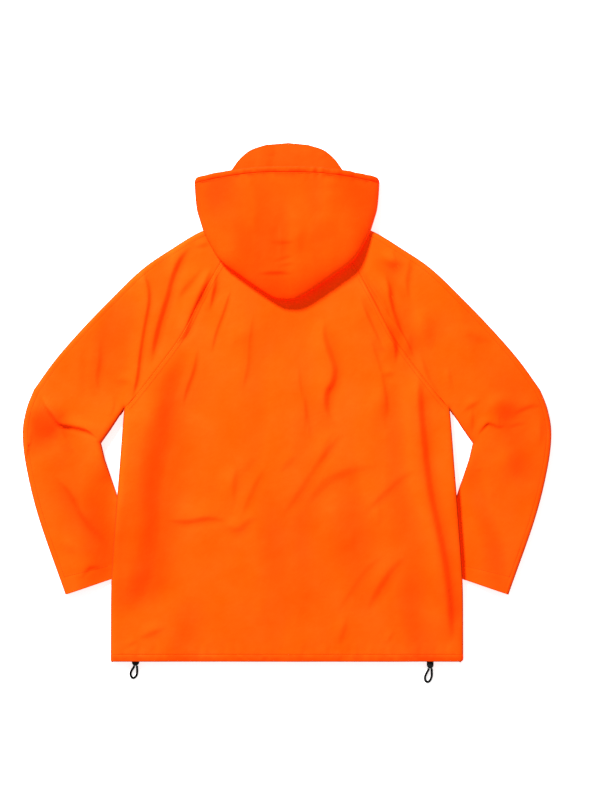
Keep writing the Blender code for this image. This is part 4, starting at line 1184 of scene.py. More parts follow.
@dataclass
class StitchRow:
    """A row of small stitches on the cloth, as one mesh of short thread capsules."""

    pitch: float = 0.0036
    length: float = 0.0027
    radius: float = 0.00032

    def build(self, name: str, lines: Sequence[Array]) -> bpy.types.Mesh:
        """Stitches along lines.

        Args:
            name: The mesh's name.
            lines: Each a row of points on the cloth's face.

        Returns:
            The mesh.
        """
        rings, sides = ((0.0, 0.35), (0.18, 1.0), (0.82, 1.0), (1.0, 0.35)), 6
        points: list[Array] = []
        faces: list[list[int]] = []
        for line in lines:
            steps = np.linalg.norm(np.diff(line, axis=0), axis=1)
            along = np.concatenate([[0.0], np.cumsum(steps)])
            for start in np.arange(0.001, along[-1] - self.length, self.pitch):
                ends = [np.array([np.interp(s, along, axis) for axis in line.T])
                        for s in (start, start + self.length)]
                run = ends[1] - ends[0]
                run /= np.linalg.norm(run)
                across = np.cross(run, (0.0, 0.0, 1.0))
                across /= np.linalg.norm(across)
                up = np.cross(across, run)
                first = len(points)
                for share, size in rings:
                    middle = mix(ends[0], ends[1], share)
                    for side in range(sides):
                        angle = 2 * math.pi * side / sides
                        spoke = across * math.cos(angle) + up * math.sin(angle)
                        points.append(middle + spoke * self.radius * size)
                faces += [face[::-1] for face in ring_faces(first, len(rings), sides)]
        return mesh_of(name, points, faces)


def sewn(name: str, shell: ClothShell, outer: Array, material: bpy.types.Material,
         nodes: Sequence[str], **tones: Array) -> bpy.types.Object:
    """A piece of waxed cloth.

    Args:
        name: The piece's name.
        shell: How its wall is made.
        outer: The points of its outer face.
        material: Its finish.
        nodes: The solids that it replaces.
        **tones: How much painted shade each point gets, from 0 to 1.

    Returns:
        The piece.
    """
    return finished(name, shell.build(name, outer, **tones), material, "waxed_cloth", *nodes)


# --- The body ---


@dataclass
class Body:
    """The back, the two fronts, their hem casings, and the flap with its press studs."""

    lay: Lay
    finishes: Finishes
    casing: float = 0.0125
    side_rim: float = 0.0012
    side_rim_run: float = 0.030
    casing_raise: float = 0.0006
    casing_tuck: float = 0.0009
    casing_bulge: float = 0.0012
    gathers: Gathers = Gathers(0.0008, 0.0085, 0.060, 0.35, 1.0, 71)
    grid: float = 0.0025
    hidden_grid: float = 0.0080
    opening_x: float = 0.002
    flap_hem_y: float = -0.450
    flap_top_y: float = 0.463
    flap_z: float = 0.0013
    flap_cloth: float = 0.0014
    flap_channel: float = 0.0003
    stud_x: float = 0.008
    stud_radius: float = 0.006
    stud_height: float = 0.0010
    stud_count: int = 7
    stud_first_y: float = -0.410
    stud_last_y: float = 0.400

    def half_width(self, y: Array, raglan: PlanCurve) -> Array:
        """Half the width of a body panel at this y, to its side seam or its raglan seam."""
        above = raglan.x_at(y) - 0.75 * self.lay.seam_gap
        return np.where(y <= self.lay.underarm[1], self.lay.side_seam.x_at(y), above)

    def neck_rise(self, level: Array, neck_side: Plan) -> Array:
        """The share of the neckline's bend that a row at this level takes."""
        share = (level - self.lay.underarm[1]) / (neck_side[1] - self.lay.underarm[1])
        return np.maximum(0.0, share) ** 1.5

    def rim(self, share: Array, y: Array) -> Array:
        """Half the gap at the side seam, on the edge columns below the underarm."""
        at_edge = np.isclose(share, 0.0)
        below = y <= self.lay.underarm[1] + 0.001
        run = (y - self.lay.underarm[1] + self.side_rim_run) / self.side_rim_run
        wider = self.side_rim * ease(run)
        return np.where(at_edge & below, np.maximum(0.5 * self.lay.seam_gap, wider), 0.0)

    def back_place(self, across: Array, level: Array) -> Array:
        """The back's point at a column from -1 to 1 and a row's y."""
        lay = self.lay
        share = 1 - np.abs(across)
        x = across * self.half_width(level, lay.back_raglan)
        dip = (lay.back_neck_side[1] - lay.back_neck_centre[1]) * ease(share)
        y = level - dip * self.neck_rise(level, lay.back_neck_side)
        plan = paired(x, y)
        return with_height(plan, lay.back_top(plan) + self.rim(share, level))

    def hem_place(self, across: Array, row: Array) -> Array:
        """The back's hem casing, a soft tunnel with gathers."""
        lay = self.lay
        y = mix(lay.hem_y, lay.hem_y + self.casing, row)
        x = across * lay.hem_side(across, y)
        plan = paired(x, y)
        share = 1 - np.abs(across)
        inside = ease(share / 0.015)
        tunnel = np.sin(math.pi * np.clip(row, 0.0, 1.0)) ** 0.7
        top = lay.back_top(plan) + inside * (
            self.casing_raise * ease(row * 6) * ease((1 - row) * 6 + 0.35)
            + self.casing_bulge * tunnel + self.gathers.at(x) * tunnel
            - self.casing_tuck * ease((row - 0.94) / 0.06))
        return with_height(plan, top + self.rim(share, y))

    def front_x(self, side: Side, edge: Array, share: Array) -> Array:
        """The x of a front's column from its side edge, at 0, to the opening, at 1."""
        opening = self.opening_x + 0.5 * side.value * self.lay.seam_gap
        return mix(edge, opening, share)

    def front_place(self, side: Side, share: Array, level: Array) -> Array:
        """A front's point at a column's share and a row's y."""
        lay = self.lay
        x = self.front_x(side, side.value * self.half_width(level, lay.front_raglan), share)
        neckline = np.interp(np.abs(x), lay.front_neckline[:, 0],
                             lay.front_neckline[:, 1])
        dip = lay.front_neck_side[1] - neckline
        y = level - dip * self.neck_rise(level, lay.front_neck_side)
        plan = paired(x, y)
        return with_height(plan, lay.front_under(plan) - self.rim(share, level))

    def front_hem_place(self, side: Side, share: Array, row: Array) -> Array:
        """A front's hem casing."""
        lay = self.lay
        y = mix(lay.hem_y, lay.hem_y + self.casing, row)
        x = self.front_x(side, side.value * lay.hem_side(side.value, y), share)
        plan = paired(x, y)
        return with_height(plan, lay.front_under(plan) - self.rim(share, y))

    def build(self) -> None:
        """Builds every piece of the body."""
        lay = self.lay
        cloth = self.finishes.cloth
        bottom = lay.hem_y + self.casing + lay.seam_gap
        width = 2 * lay.side_seam.x_at(lay.hem_y)
        across = 2 * graded(float(width), 0.0006, self.grid) - 1
        top = lay.back_neck_side[1]
        levels = mix(bottom, top, np.linspace(0, 1, round((top - bottom) / self.grid) + 1))
        outer = grid_of(self.back_place, across, levels)
        # Painted shade: along the back's edges, beside its folds and under the patches.
        worn = 1 - ease(lay.body_edge(outer[..., :2]) / lay.edge_shade_width)
        shade = lay.jacket_folds.shade(outer[..., :2])
        back = sewn("back_panel", ClothShell(), outer, cloth, ["back"], worn=worn, shade=shade)
        rows = graded(1.0, 0.04, 0.125, 1.6)
        fine_across = 2 * graded(float(width), 0.0006, 0.0017) - 1
        outer = grid_of(self.hem_place, fine_across, rows)
        # Painted shade: along the casing's bottom edge, mottled over its upper part, and beside the
        # folds.
        worn = 0.9 * (1 - ease(rows / 0.18))[:, None]
        mottled = 0.7 + 0.3 * value_noise(outer[..., :2], 0.009, 73)
        shade = np.clip(0.75 * mottled * ease((rows - 0.10) / 0.30)[:, None]
                        + lay.jacket_folds.shade(outer[..., :2]), 0.0, 1.0)
        shell = ClothShell(thickness=CASING_CLOTH, inner_step=2)
        hem = sewn("hem_casing_back_cloth", shell, outer, cloth, ["hem_casing_back"], worn=worn,
                   shade=shade)
        for side in Side:
            self.build_front(side)
        self.build_flap()
        self.build_studs()

    def build_front(self, side: Side) -> None:
        """A front and its hem casing, plainly finished, because they lie underneath."""
        facing = Facing.DOWN if side is Side.LEFT else Facing.UP
        shares = graded(0.315, 0.0008, self.hidden_grid, 1.35)
        bottom = self.lay.hem_y + self.casing + self.lay.seam_gap
        top = self.lay.front_neck_side[1]
        levels = mix(bottom, top, np.linspace(0, 1, round((top - bottom) / self.hidden_grid) + 1))
        outer = grid_of(lambda share, level: self.front_place(side, share, level), shares, levels)
        cloth = self.finishes.cloth
        front = sewn(f"front_panel_{side.word}", ClothShell(inner_step=1, facing=facing), outer,
                     cloth, [f"front_{side.word}"])
        outer = grid_of(lambda share, row: self.front_hem_place(side, share, row), shares,
                        np.linspace(0, 1, 7))
        shell = ClothShell(thickness=CASING_CLOTH, inner_step=1, facing=facing)
        hem = sewn(f"hem_casing_front_{side.word}_cloth", shell, outer, cloth,
                   [f"hem_casing_front_{side.word}"])

    def build_flap(self) -> None:
        """The flap under the opening, with a sewn channel near each long edge."""
        wide, top = self.lay.flap_right - self.lay.flap_left, self.flap_z + self.flap_cloth
        across = np.array([0.0, 0.02, 0.08, 0.11, 0.14, 0.3, 0.5, 0.7, 0.86, 0.89, 0.92, 0.98, 1.0])
        along = np.linspace(0, 1, 90)

        def place(share: Array, row: Array) -> Array:
            """The flap's upper face."""
            plan = paired(self.lay.flap_left + wide * share,
                          mix(self.flap_hem_y, self.flap_top_y, row))
            channel = self.flap_channel * bell(np.abs(share - 0.5) - 0.39, 0.012)
            return with_height(plan, top - channel)

        shell = ClothShell(thickness=self.flap_cloth - 0.0001, inner_step=1)
        flap = sewn("front_flap_cloth", shell, grid_of(place, across, along), self.finishes.cloth,
                    ["front_placket"])

    def build_studs(self) -> None:
        """The press studs' caps, turned with a rounded edge and a dished middle."""
        profile = ((0.0, 0.12), (0.55, 0.10), (0.72, 0.0), (0.88, 0.02), (0.97, 0.25), (1.0, 0.6),
                   (0.96, 1.0), (0.0, 1.0))
        turns, points, faces = 32, [], []
        for y in np.linspace(self.stud_first_y, self.stud_last_y, self.stud_count):
            first = len(points)
            for radius, height in profile:
                for turn in range(turns):
                    angle = 2 * math.pi * turn / turns
                    reach = max(radius, 0.02) * self.stud_radius
                    points.append((self.stud_x + reach * math.cos(angle),
                                   y + reach * math.sin(angle), height * self.stud_height))
            faces += ring_faces(first, len(profile), turns)
        mesh = mesh_of("press_stud_caps", points, faces, 50)
        finished("press_stud_caps", mesh, self.finishes.stud, "stud_metal",
                 *[f"press_stud_{n}" for n in range(1, self.stud_count + 1)])


# --- The sleeves ---


@dataclass
class Sleeve:
    """A raglan sleeve: one flattened tube, with an overarm seam and a hemmed cuff."""

    lay: Lay
    finishes: Finishes
    side: Side
    elbow: float = 0.55
    grid: float = 0.0026
    under_grid: float = 0.0080
    cuff_hem: float = 0.014
    cuff_raise: float = 0.0005
    overarm_inset: float = 0.0085
    overarm_ridge: float = 0.0007
    channel: float = 0.0005
    cuff_stitch: float = 0.0015
    length: float = 0.33

    def fold_point(self, upper: PlanCurve, lower: PlanCurve, along: Array) -> Array:
        """A point of a fold, whose elbow is at `elbow` of the way down."""
        high = upper.at(along / self.elbow)
        low = lower.at((along - self.elbow) / (1 - self.elbow))
        return np.where((along <= self.elbow)[..., None], high, low)

    def plan(self, across: Array, along: Array, neck_side: Plan, raglan: PlanCurve) -> Array:
        """The plan of one layer: a patch between the two folds, the raglan seam and the cuff."""
        lay = self.lay
        top_edge = PlanCurve(joined((lay.shoulder_neck, neck_side), raglan.points))
        outer = self.fold_point(lay.outer_upper, lay.outer_lower, along)
        inner = self.fold_point(lay.inner_upper, lay.inner_lower, along)
        cuff_outer, cuff_inner = lay.outer.at(1.0), lay.inner.at(1.0)
        wide = across[..., None]
        long = along[..., None]
        sides = mix(outer, inner, wide)
        ends = mix(top_edge.at(across), mix(cuff_outer, cuff_inner, wide), long)
        corners = mix(mix(lay.outer.at(0.0), lay.inner.at(0.0), wide),
                      mix(cuff_outer, cuff_inner, wide), long)
        return sides + ends - corners

    def layer(self, across: Array, along: Array, upper: bool) -> Array:
        """The points of the upper or the lower layer."""
        lay = self.lay
        neck_side = lay.back_neck_side if upper else lay.front_neck_side
        raglan = lay.back_raglan if upper else lay.front_raglan
        plan = self.plan(across, along, neck_side, raglan)
        start = 0.915 if upper else 0.945
        seam = np.array([0.83, 0.56]) * lay.seam_gap * 0.6
        shift = (1 + 9 * ease((across - start) / 0.055))[..., None] * seam
        plan = plan + shift * (1 - ease(along / 0.040))[..., None]
        plan = plan * (self.side.value, 1)
        z = lay.sleeve_top(plan) if upper else lay.sleeve_under(plan)
        on_fold = (across == 0.0) | (across == 1.0)
        z = np.where(on_fold, lay.sleeve_fold(plan)[1], z)
        if upper:
            z = z + np.where(on_fold, 0.0, self.relief(plan, along))
        return with_height(plan, z)

    def relief(self, plan: Array, along: Array) -> Array:
        """The overarm seam's ridge, and the cuff's hem with its stitched channel."""
        gap = self.lay.outer.distance(halved(plan))
        ridge = self.overarm_ridge * bell(gap - self.overarm_inset + 0.003, 0.0032)
        groove = self.channel * bell(gap - self.overarm_inset, 0.0011)
        from_cuff = (1 - along) * self.length
        hem = self.cuff_raise * ease((self.cuff_hem - from_cuff) / 0.002)
        channel = self.channel * bell(from_cuff - self.cuff_hem + self.cuff_stitch, 0.0013)
        return (ridge - groove) * ease(gap / 0.002) + (hem - channel) * ease(gap / 0.003)

    def build(self) -> None:
        """Builds the tube."""
        lay = self.lay
        upper = graded(0.19, 0.0006, self.grid)
        lower = graded(0.19, 0.0012, self.under_grid, 1.5)[::-1][1:-1]
        along = np.concatenate([
            graded(0.36, 0.0006, self.grid)[:-1] * self.elbow,
            self.elbow + (1 - self.elbow) * graded(0.30, self.grid, self.grid)[:-1], [1.0]])
        along = np.unique(np.round(along, 6))
        top = grid_of(lambda a, r: self.layer(a, r, True), upper, along)
        under = grid_of(lambda a, r: self.layer(a, r, False), lower, along)
        outer = np.concatenate([top, under], axis=1)
        facing = Facing.UP if self.side is Side.RIGHT else Facing.DOWN
        # Painted shade: along the folded edges and the cuff's end, beside the folds and under the
        # patches.
        worn = 1 - ease(lay.sleeve_fold(outer[..., :2])[0] / lay.edge_shade_width)
        worn = np.maximum(worn, 0.45 * ease((along - 0.9965) / 0.003)[:, None])
        lean = np.concatenate([np.ones(len(upper)), -np.ones(len(lower))])
        shell = ClothShell(closed=True, facing=facing, lean=lean)
        shade = lay.jacket_folds.shade(outer[..., :2])
        sleeve = sewn(f"sleeve_{self.side.word}_cloth", shell, outer, self.finishes.cloth,
                      [f"sleeve_{self.side.word}"], worn=worn, shade=shade)


# --- The hood ---


@dataclass
class Hood:
    """The bag lying on the back, the neck part beyond its mouth, and the mouth's casings."""

    lay: Lay
    finishes: Finishes
    casing: float = 0.010
    casing_raise: float = 0.0004
    casing_tuck: float = 0.0014
    casing_bulge: float = 0.0016
    crease: float = 0.0110
    crease_shade: float = 0.0070
    gathers: Gathers = Gathers(0.0015, 0.0075, 0.045, 0.30, 1.2, 91)
    grid: float = 0.0022
    opening_x: float = 0.002
    corner_radius: float = 0.009
    bag_length: float = 0.22
    neck_bow: float = 0.110

    def plan(self, share: Array, row: Array) -> Array:
        """The bag's plan: nape rows from -1 to 0, upper rows from 0 to 1."""
        lay = self.lay
        fold = lay.hood_bottom.at(share)
        nape = mix(fold, lay.neck_line.at(share), -row[..., None])
        long, wide = row[..., None], share[..., None]
        left_side, right_side = mirrored(lay.hood_side.points), lay.hood_side.points
        ends = (lay.hood_bottom.at(0.0), lay.hood_bottom.at(1.0))
        tops = (lay.hood_mouth.at(0.0), lay.hood_mouth.at(1.0))
        left = PlanCurve(left_side).at(row) - mix(ends[0], tops[0], long)
        right = PlanCurve(right_side).at(row) - mix(ends[1], tops[1], long)
        upper = mix(fold, lay.hood_mouth.at(share), long) + left * (1 - wide) + right * wide
        return self.soft_corner(np.where(long < 0, nape, upper))

    def soft_corner(self, plan: Array) -> Array:
        """Rounds the mouth's corners: a square at each becomes a quarter of a disc."""
        x, y = self.lay.hood_side.points[-1]
        radius = self.corner_radius
        offset = halved(plan) - (x - radius, y - radius)
        inside = np.maximum(offset, 0.0)
        reach = np.maximum(np.hypot(*np.moveaxis(inside, -1, 0)), 1e-9)
        share = np.where(inside.min(axis=-1) > 0, inside.max(axis=-1) / reach, 1.0)
        half = (x - radius, y - radius) + offset * share[..., None]
        return half * np.stack([np.sign(plan[..., 0]) + (plan[..., 0] == 0),
                                np.ones(plan.shape[:-1])], axis=-1)

    def place(self, share: Array, row: Array) -> Array:
        """The bag's outer face."""
        lay = self.lay
        plan = self.plan(share, row)
        fold = lay.hood_fold.at(plan[..., 1])
        top = np.where(row == 0.0, fold, lay.hood_top(plan))
        on_side = (share == 0.0) | (share == 1.0)
        top = top + np.where(on_side & (row > 0), 0.5 * lay.seam_gap, 0.0)
        return with_height(plan, np.where(row < 0, lay.nape_under(plan), top))

    def mouth_share(self, share: Array, width: float) -> Array:
        """The share of a column's upper length that a width at the mouth takes."""
        lengths = self.lay.hood_mouth.at(share) - self.lay.hood_bottom.at(share)
        return width / np.hypot(lengths[..., 0], lengths[..., 1])

    def bag_place(self, share: Array, row: Array) -> Array:
        """The bag without its casing."""
        end = 1 - self.mouth_share(share, self.casing + self.lay.seam_gap)
        points = self.place(share, np.where(row > 0, row * end, row))
        behind = np.where(row > 0, bell((1 - row) * self.bag_length, self.crease), 0.0)
        gathers = self.gathers.at(share * self.lay.hood_mouth.length)
        edge = ease(share / 0.03) * ease((1 - share) / 0.03)
        points[..., 2] += 0.7 * gathers * edge * behind
        return points

    def casing_place(self, share: Array, row: Array) -> Array:
        """The drawcord casing along the bag's mouth."""
        points = self.place(share, 1 - (1 - row) * self.mouth_share(share, self.casing))
        inside = ease(share / 0.02) * ease((1 - share) / 0.02)
        tunnel = np.sin(math.pi * np.clip(row, 0, 1)) ** 0.6
        gathers = self.gathers.at(share * self.lay.hood_mouth.length)
        points[..., 2] += inside * (
            self.casing_raise + self.casing_bulge * tunnel + gathers * (0.35 + 0.65 * tunnel)
            - self.casing_tuck * (1 - ease(row / 0.06)))
        points[..., 1] += inside * 0.5 * gathers * row
        return points

    def neck_plan(self, side: Side) -> Callable[[Array, Array], Array]:
        """Gives the plan of a half of the neck part, on its +X form.

        Args:
            side: Which half.

        Returns:
            A function of the share across and the share from the neck edge to the rim.
        """
        opening = side.value * self.opening_x + 0.1 * self.lay.seam_gap
        lay, seam = self.lay, self.lay.neck_seam
        neckline = [p for p in lay.front_neckline[::-1] if p[0] > abs(opening) + 0.001]
        neckline = [(x - seam if x > 0.070 else x, y + seam) for x, y in neckline]
        lap = (lay.shoulder_lap[0], lay.shoulder_lap[1] + 3 * seam)
        shoulder = (lay.shoulder_neck[0] - seam, lay.shoulder_neck[1] + 2 * seam)
        neck = PlanCurve([lap, shoulder, *neckline, (opening, lay.front_neck_centre[1] + seam)])
        rim_points = smooth((lay.mouth_corner, (0.110, 0.4105), (0.0995, 0.4185), (0.0865, 0.436),
                             (0.066, 0.453), (0.038, 0.4625)))
        rim = PlanCurve([*rim_points, (opening, 0.466)])
        fold = PlanCurve(joined((lap, lay.hood_side.points[0]), lay.hood_side.points))

        def point(share: Array, row: Array) -> Array:
            """The plan of one point."""
            long = row[..., None]
            bow = fold.at(row) - mix(neck.at(0.0), rim.at(0.0), long)
            straight = mix(neck.at(share), rim.at(share), long)
            return self.soft_corner(straight + bow * (1 - ease(share / self.neck_bow))[..., None])

        return point

    def neck_place(self, side: Side, plan_of: Callable[[Array, Array], Array], share: Array,
                   row: Array, folds: FoldField) -> Array:
        """The neck part's outer, lower face, with its folds."""
        plan = plan_of(share, row) * (side.value, 1)
        z = self.lay.neck_under(plan)
        z = z - np.where(share == 0.0, 0.5 * self.lay.seam_gap, 0.0)
        lift = np.maximum(folds.height(plan), 0.0) * ease(share / 0.05)
        return with_height(plan, z + lift)

    def build(self) -> None:
        """Builds every piece of the hood."""
        cloth = self.finishes.hood
        shares = graded(0.40, 0.0005, self.grid)
        nape = np.concatenate([-graded(0.12, 0.0010, 0.0045, 1.3)[::-1][:-1], [0.0]])
        upper = graded(self.bag_length, 0.0005, self.grid)[1:]
        rows = np.concatenate([nape, upper])
        outer = grid_of(self.bag_place, shares, rows)
        # Painted shade: mottled in the crease behind the mouth's casing, beside the folds and under
        # the patches.
        mottled = ease(0.5 + value_noise(outer[..., :2], 0.012, 95))
        behind = bell((1 - np.maximum(rows, 0.0)) * self.bag_length, self.crease_shade)[:, None]
        shade = self.lay.hood_folds.shade(outer[..., :2]) + 0.6 * behind * mottled
        bag = sewn("hood_bag_cloth", ClothShell(inner_step=2), outer, cloth, ["hood_bag"],
                   shade=np.clip(shade, 0.0, 1.0))
        fine = graded(0.40, 0.0005, 0.0014)
        rows = graded(1.0, 0.05, 0.11, 1.5)
        outer = grid_of(self.casing_place, fine, rows)
        # Painted shade: along the casing's mouth edge, and over the whole casing, mottled and
        # deeper towards the bag.
        worn = 0.9 * ease((rows - 0.84) / 0.14)[:, None]
        mottled = 0.5 + value_noise(outer[..., :2], 0.011, 93)
        shade = 0.35 + 0.5 * ease((0.75 - rows) / 0.45)[:, None] * ease(mottled)
        shell = ClothShell(thickness=CASING_CLOTH, inner_step=2)
        casing = sewn("hood_casing_cloth", shell, outer, cloth, ["hood_casing"], worn=worn,
                      shade=shade)
        for side in Side:
            self.build_neck(side)

    def build_neck(self, side: Side) -> None:
        """A half of the neck part, standing for its rim's casing too; its inner face shows beyond
        the mouth.
        """
        plan_of = self.neck_plan(side)
        folds = FoldField(NECK_FOLDS, swell=0.0004, crumple=0.0006, seed=61)
        shares = graded(0.19, 0.0008, 0.0026, 1.3)
        rows = graded(0.22, 0.0010, 0.0026, 1.3)
        facing = Facing.UP if side is Side.RIGHT else Facing.DOWN
        outer = grid_of(lambda s, r: self.neck_place(side, plan_of, s, r, folds), shares, rows)
        shell = ClothShell(thickness=0.0013, inner_step=1, facing=facing)
        neck = sewn(f"hood_neck_{side.word}_cloth", shell, outer, self.finishes.lining,
                    [f"hood_neck_{side.word}", f"hood_neck_casing_{side.word}"])


# --- The drawcord's ends ---


@dataclass
class DrawcordEnd:
    """A loop of the hem's drawcord and the lock that it comes out of."""

    side: Side
    finishes: Finishes
    lock_x: float
    lock_width: float
    lock_length: float
    route: tuple[Triple, ...]
    diameter: float = 0.0042
    lift: float = 0.0003
    hem_y: float = -0.466
    seam_gap: float = 0.0003
    lock_thickness: float = 0.009
    same_point: float = 1e-5

    def build(self) -> None:
        """Builds the loop and its lock."""
        line = smooth(self.route, 6) + (0.0, 0.0, self.lift)
        curve = bpy.data.curves.new(f"drawcord_loop_{self.side.word}", "CURVE")
        curve.dimensions = "3D"
        curve.bevel_depth = self.diameter / 2
        curve.bevel_resolution = 5
        curve.use_fill_caps = True
        spline = curve.splines.new("POLY")
        spline.points.add(len(line) - 1)
        for point, place in zip(spline.points, line):
            point.co = (*place, 1.0)
        spline.use_smooth = True
        cord = finished(curve.name, curve, self.finishes.cord, "black_trim",
                        f"hem_cord_{self.side.word}")
        lock = self.build_lock()
        tuple(line[0])

    def build_lock(self) -> bpy.types.Object:
        """The cord lock: a rounded barrel with a waist and a push button's rim."""
        radius, top = self.lock_width / 2, self.hem_y - self.seam_gap
        depth = min(radius, self.lock_length)
        tip = top - self.lock_length
        outline = [(self.lock_x + radius, top), (self.lock_x - radius, top)]
        for angle in np.linspace(math.pi, 2 * math.pi, 25):
            outline.append((self.lock_x + radius * math.cos(angle),
                            tip + depth + depth * math.sin(angle)))
        kept = [p for i, p in enumerate(outline)
                if all(math.dist(p, q) > self.same_point for q in outline[:i])]
        middle = np.mean(np.array(kept), axis=0)
        levels = ((0.0, 0.80), (0.06, 0.94), (0.14, 1.0), (0.40, 1.0), (0.44, 0.95), (0.56, 0.95),
                  (0.60, 1.0), (0.86, 1.0), (0.94, 0.94), (1.0, 0.80))
        points = [(*mix(middle, np.array(spot), size), self.seam_gap + level * self.lock_thickness)
                  for level, size in levels for spot in kept]
        name = f"cord_lock_{self.side.word}"
        mesh = mesh_of(name, points, ring_faces(0, len(levels), len(kept)), 40)
        return finished(name, mesh, self.finishes.lock, "black_trim",
                        f"cord_stopper_{self.side.word}")


def drawcord_ends(finishes: Finishes) -> list[DrawcordEnd]:
    """The two loops, on the routes that their solids take."""
    return [
        DrawcordEnd(Side.LEFT, finishes, -0.2722, 0.0130, 0.0078, (
            (-0.2748, -0.4744, 0.0045), (-0.2758, -0.4775, 0.0042), (-0.2792, -0.4825, 0.0032),
            (-0.2815, -0.4890, 0.0020), (-0.2795, -0.4950, 0.0018), (-0.2755, -0.4962, 0.0018),
            (-0.2710, -0.4920, 0.0020), (-0.2694, -0.4845, 0.0032), (-0.2696, -0.4775, 0.0042),
            (-0.2696, -0.4744, 0.0045))),
        DrawcordEnd(Side.RIGHT, finishes, 0.2574, 0.0120, 0.0125, (
            (0.2548, -0.4791, 0.0045), (0.2541, -0.4822, 0.0042), (0.2516, -0.4865, 0.0032),
            (0.2485, -0.4940, 0.0020), (0.2490, -0.5010, 0.0018), (0.2534, -0.5036, 0.0018),
            (0.2578, -0.5000, 0.0020), (0.2604, -0.4920, 0.0030), (0.2602, -0.4830, 0.0042),
            (0.2600, -0.4791, 0.0045))),
    ]


# --- Stitching ---


@dataclass
class Stitching:
    """The topstitching that shows: raglan seams, overarm seams, hem, cuffs and hood mouth."""

    lay: Lay
    finishes: Finishes
    body: Body
    sleeves: tuple[Sleeve, Sleeve]
    hood: Hood
    sink: float = 0.00005
    raglan_rows: Plan = (0.0020, 0.0072)
    edge_gap: float = 0.0016

    def on(self, plan: Array, height: Callable[[Array], Array]) -> Array:
        """A plan line laid on a face, sunk a little into it."""
        return with_height(plan, height(plan) - self.sink)

    @staticmethod
    def inset(line: Array, gap: float) -> Array:
        """A plan line moved sideways to its left by a gap."""
        run = np.gradient(line, axis=0)
        run /= np.maximum(np.linalg.norm(run, axis=1, keepdims=True), 1e-9)
        return line + np.stack([-run[:, 1], run[:, 0]], axis=-1) * gap

    def raglan_lines(self) -> list[Array]:
        """Two rows on the body's side of each raglan seam."""
        lines = []
        for gap in self.raglan_rows:
            plan = self.inset(self.lay.back_raglan.at(np.linspace(0.02, 0.985, 160)), -gap)
            for side in Side:
                lines.append(self.on(plan * (side.value, 1), self.lay.back_top))
        return lines

    def sleeve_lines(self, sleeve: Sleeve) -> list[Array]:
        """The overarm row and the cuff's row of a sleeve."""
        lay = self.lay
        along = np.linspace(0.02, 0.995, 220)
        outer = lay.outer.at(along)
        overarm = self.inset(outer, -(sleeve.overarm_inset + self.edge_gap))
        across = np.linspace(0.03, 0.97, 90)
        row = 1 - (sleeve.cuff_hem - sleeve.cuff_stitch) / sleeve.length
        cuff = sleeve.plan(across, np.full_like(across, row),
                           lay.back_neck_side, lay.back_raglan)
        half_edge = lay.side_seam.x_at(cuff[:, 1])
        cuff = cuff[cuff[:, 0] > half_edge + 0.004]
        return [self.on(line * (sleeve.side.value, 1), lay.sleeve_top)
                for line in (overarm, cuff)]

    def hem_line(self) -> Array:
        """The row along the top of the hem's casing."""
        x = np.linspace(-0.305, 0.305, 300)
        y = np.full_like(x, self.lay.hem_y + self.body.casing + self.edge_gap)
        return self.on(paired(x, y), self.lay.back_top)

    def hood_line(self) -> Array:
        """The row behind the hood mouth's casing."""
        share = np.linspace(0.03, 0.97, 220)
        row = 1 - self.hood.mouth_share(share, self.hood.casing + 0.0020)
        return self.hood.place(share, row) - (0.0, 0.0, self.sink)

    def build(self) -> None:
        """Builds the rows as a few meshes."""
        rows = {
            "stitching_raglan": self.raglan_lines(),
            "stitching_hem": [self.hem_line()],
            "stitching_hood": [self.hood_line()],
            **{f"stitching_sleeve_{s.side.word}": self.sleeve_lines(s) for s in self.sleeves},
        }
        for name, lines in rows.items():
            finished(name, StitchRow().build(name, lines), self.finishes.thread, "waxed_cloth")


# --- The studio ---


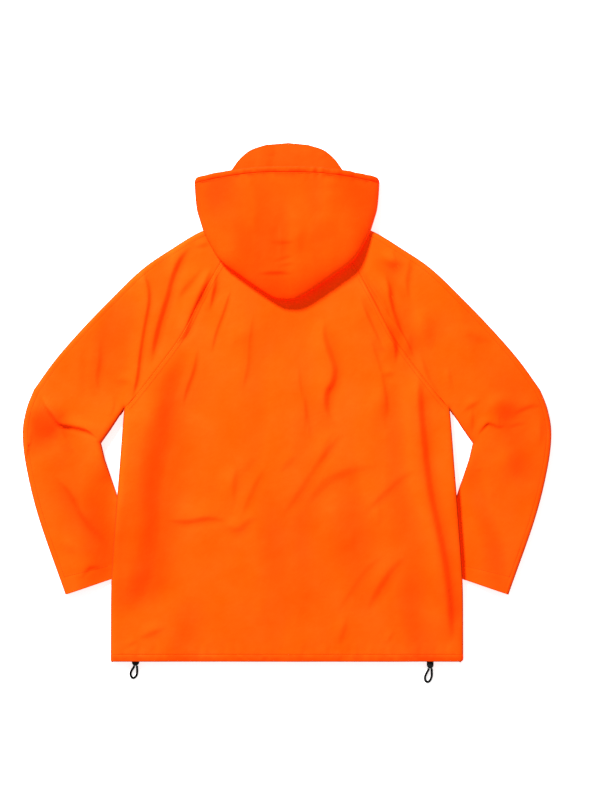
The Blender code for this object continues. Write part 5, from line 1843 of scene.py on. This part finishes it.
@dataclass
class Studio:
    """A pale floor, soft lights and a camera that looks straight down."""

    centre: Plan = (0.0234, 0.0036)
    frame_height: float = 1.440
    lens: float = 110.0
    sensor: float = 36.0
    key_place: Triple = (-2.05, 3.30, 3.15)
    key_size: float = 1.0
    key_power: float = 530.0
    world: float = 0.42

    def build(self) -> None:
        """Makes the floor, the lights and the camera."""
        self.floor()
        self.key()
        world = bpy.data.worlds.new("studio")
        world.use_nodes = True
        Nodes.put(world.node_tree.nodes["Background"], Color=(1.0, 1.0, 1.0, 1.0),
                  Strength=self.world)
        scene = bpy.context.scene
        scene.world = world
        scene.view_settings.view_transform = "Standard"
        scene.view_settings.look = "None"
        self.camera()

    def floor(self) -> None:
        """A wide plain floor just below the jacket."""
        mesh = bpy.data.meshes.new("floor")
        reach, level = 6.0, -0.0004
        mesh.from_pydata([(-reach, -reach, level), (reach, -reach, level), (reach, reach, level),
                          (-reach, reach, level)], [], [(0, 1, 2, 3)])
        nodes = Nodes("pale_floor")
        nodes.put(nodes.shader, Base_Color=(0.90, 0.90, 0.90, 1.0), Roughness=0.9,
                  Specular_IOR_Level=0.1, Emission_Color=(1.0, 1.0, 1.0, 1.0),
                  Emission_Strength=0.70)
        mesh.materials.append(nodes.material)
        floor = linked("floor", mesh)
        floor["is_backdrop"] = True

    def key(self) -> None:
        """One soft light beyond the hood, low enough that the folds show."""
        data = bpy.data.lights.new("key", "AREA")
        data.shape = "DISK"
        data.size = self.key_size
        data.energy = self.key_power
        light = linked("key", data)
        light.location = self.key_place
        light.rotation_mode = "QUATERNION"
        light.rotation_quaternion = (-Vector(self.key_place)).to_track_quat("-Z", "Y")

    def camera(self) -> None:
        """The camera, straight above the middle of the frame."""
        data = bpy.data.cameras.new("camera")
        data.lens, data.sensor_width = self.lens, self.sensor
        distance = self.lens / self.sensor * self.frame_height
        data.clip_end = 50.0
        camera = linked("camera", data)
        camera.location = (*self.centre, distance)
        bpy.context.scene.camera = camera


def main() -> None:
    """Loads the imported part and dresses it."""
    logging.basicConfig(level=logging.INFO, format="%(message)s")
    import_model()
    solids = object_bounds()
    Studio().build()
    finishes = Finishes()
    for end in drawcord_ends(finishes):
        end.build()
    lay = Lay()
    body = Body(lay, finishes)
    body.build()
    sleeves = (Sleeve(lay, finishes, Side.LEFT), Sleeve(lay, finishes, Side.RIGHT))
    for sleeve in sleeves:
        sleeve.build()
    hood = Hood(lay, finishes)
    hood.build()
    Stitching(lay, finishes, body, sleeves, hood).build()
    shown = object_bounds()
    sizes = {"cad": [list(corner) for corner in solids],
             "visual": [list(corner) for corner in shown]}
    LOG.info("solids %s, dressed %s", sizes["cad"], sizes["visual"])


if __name__ == "__main__":
    main()
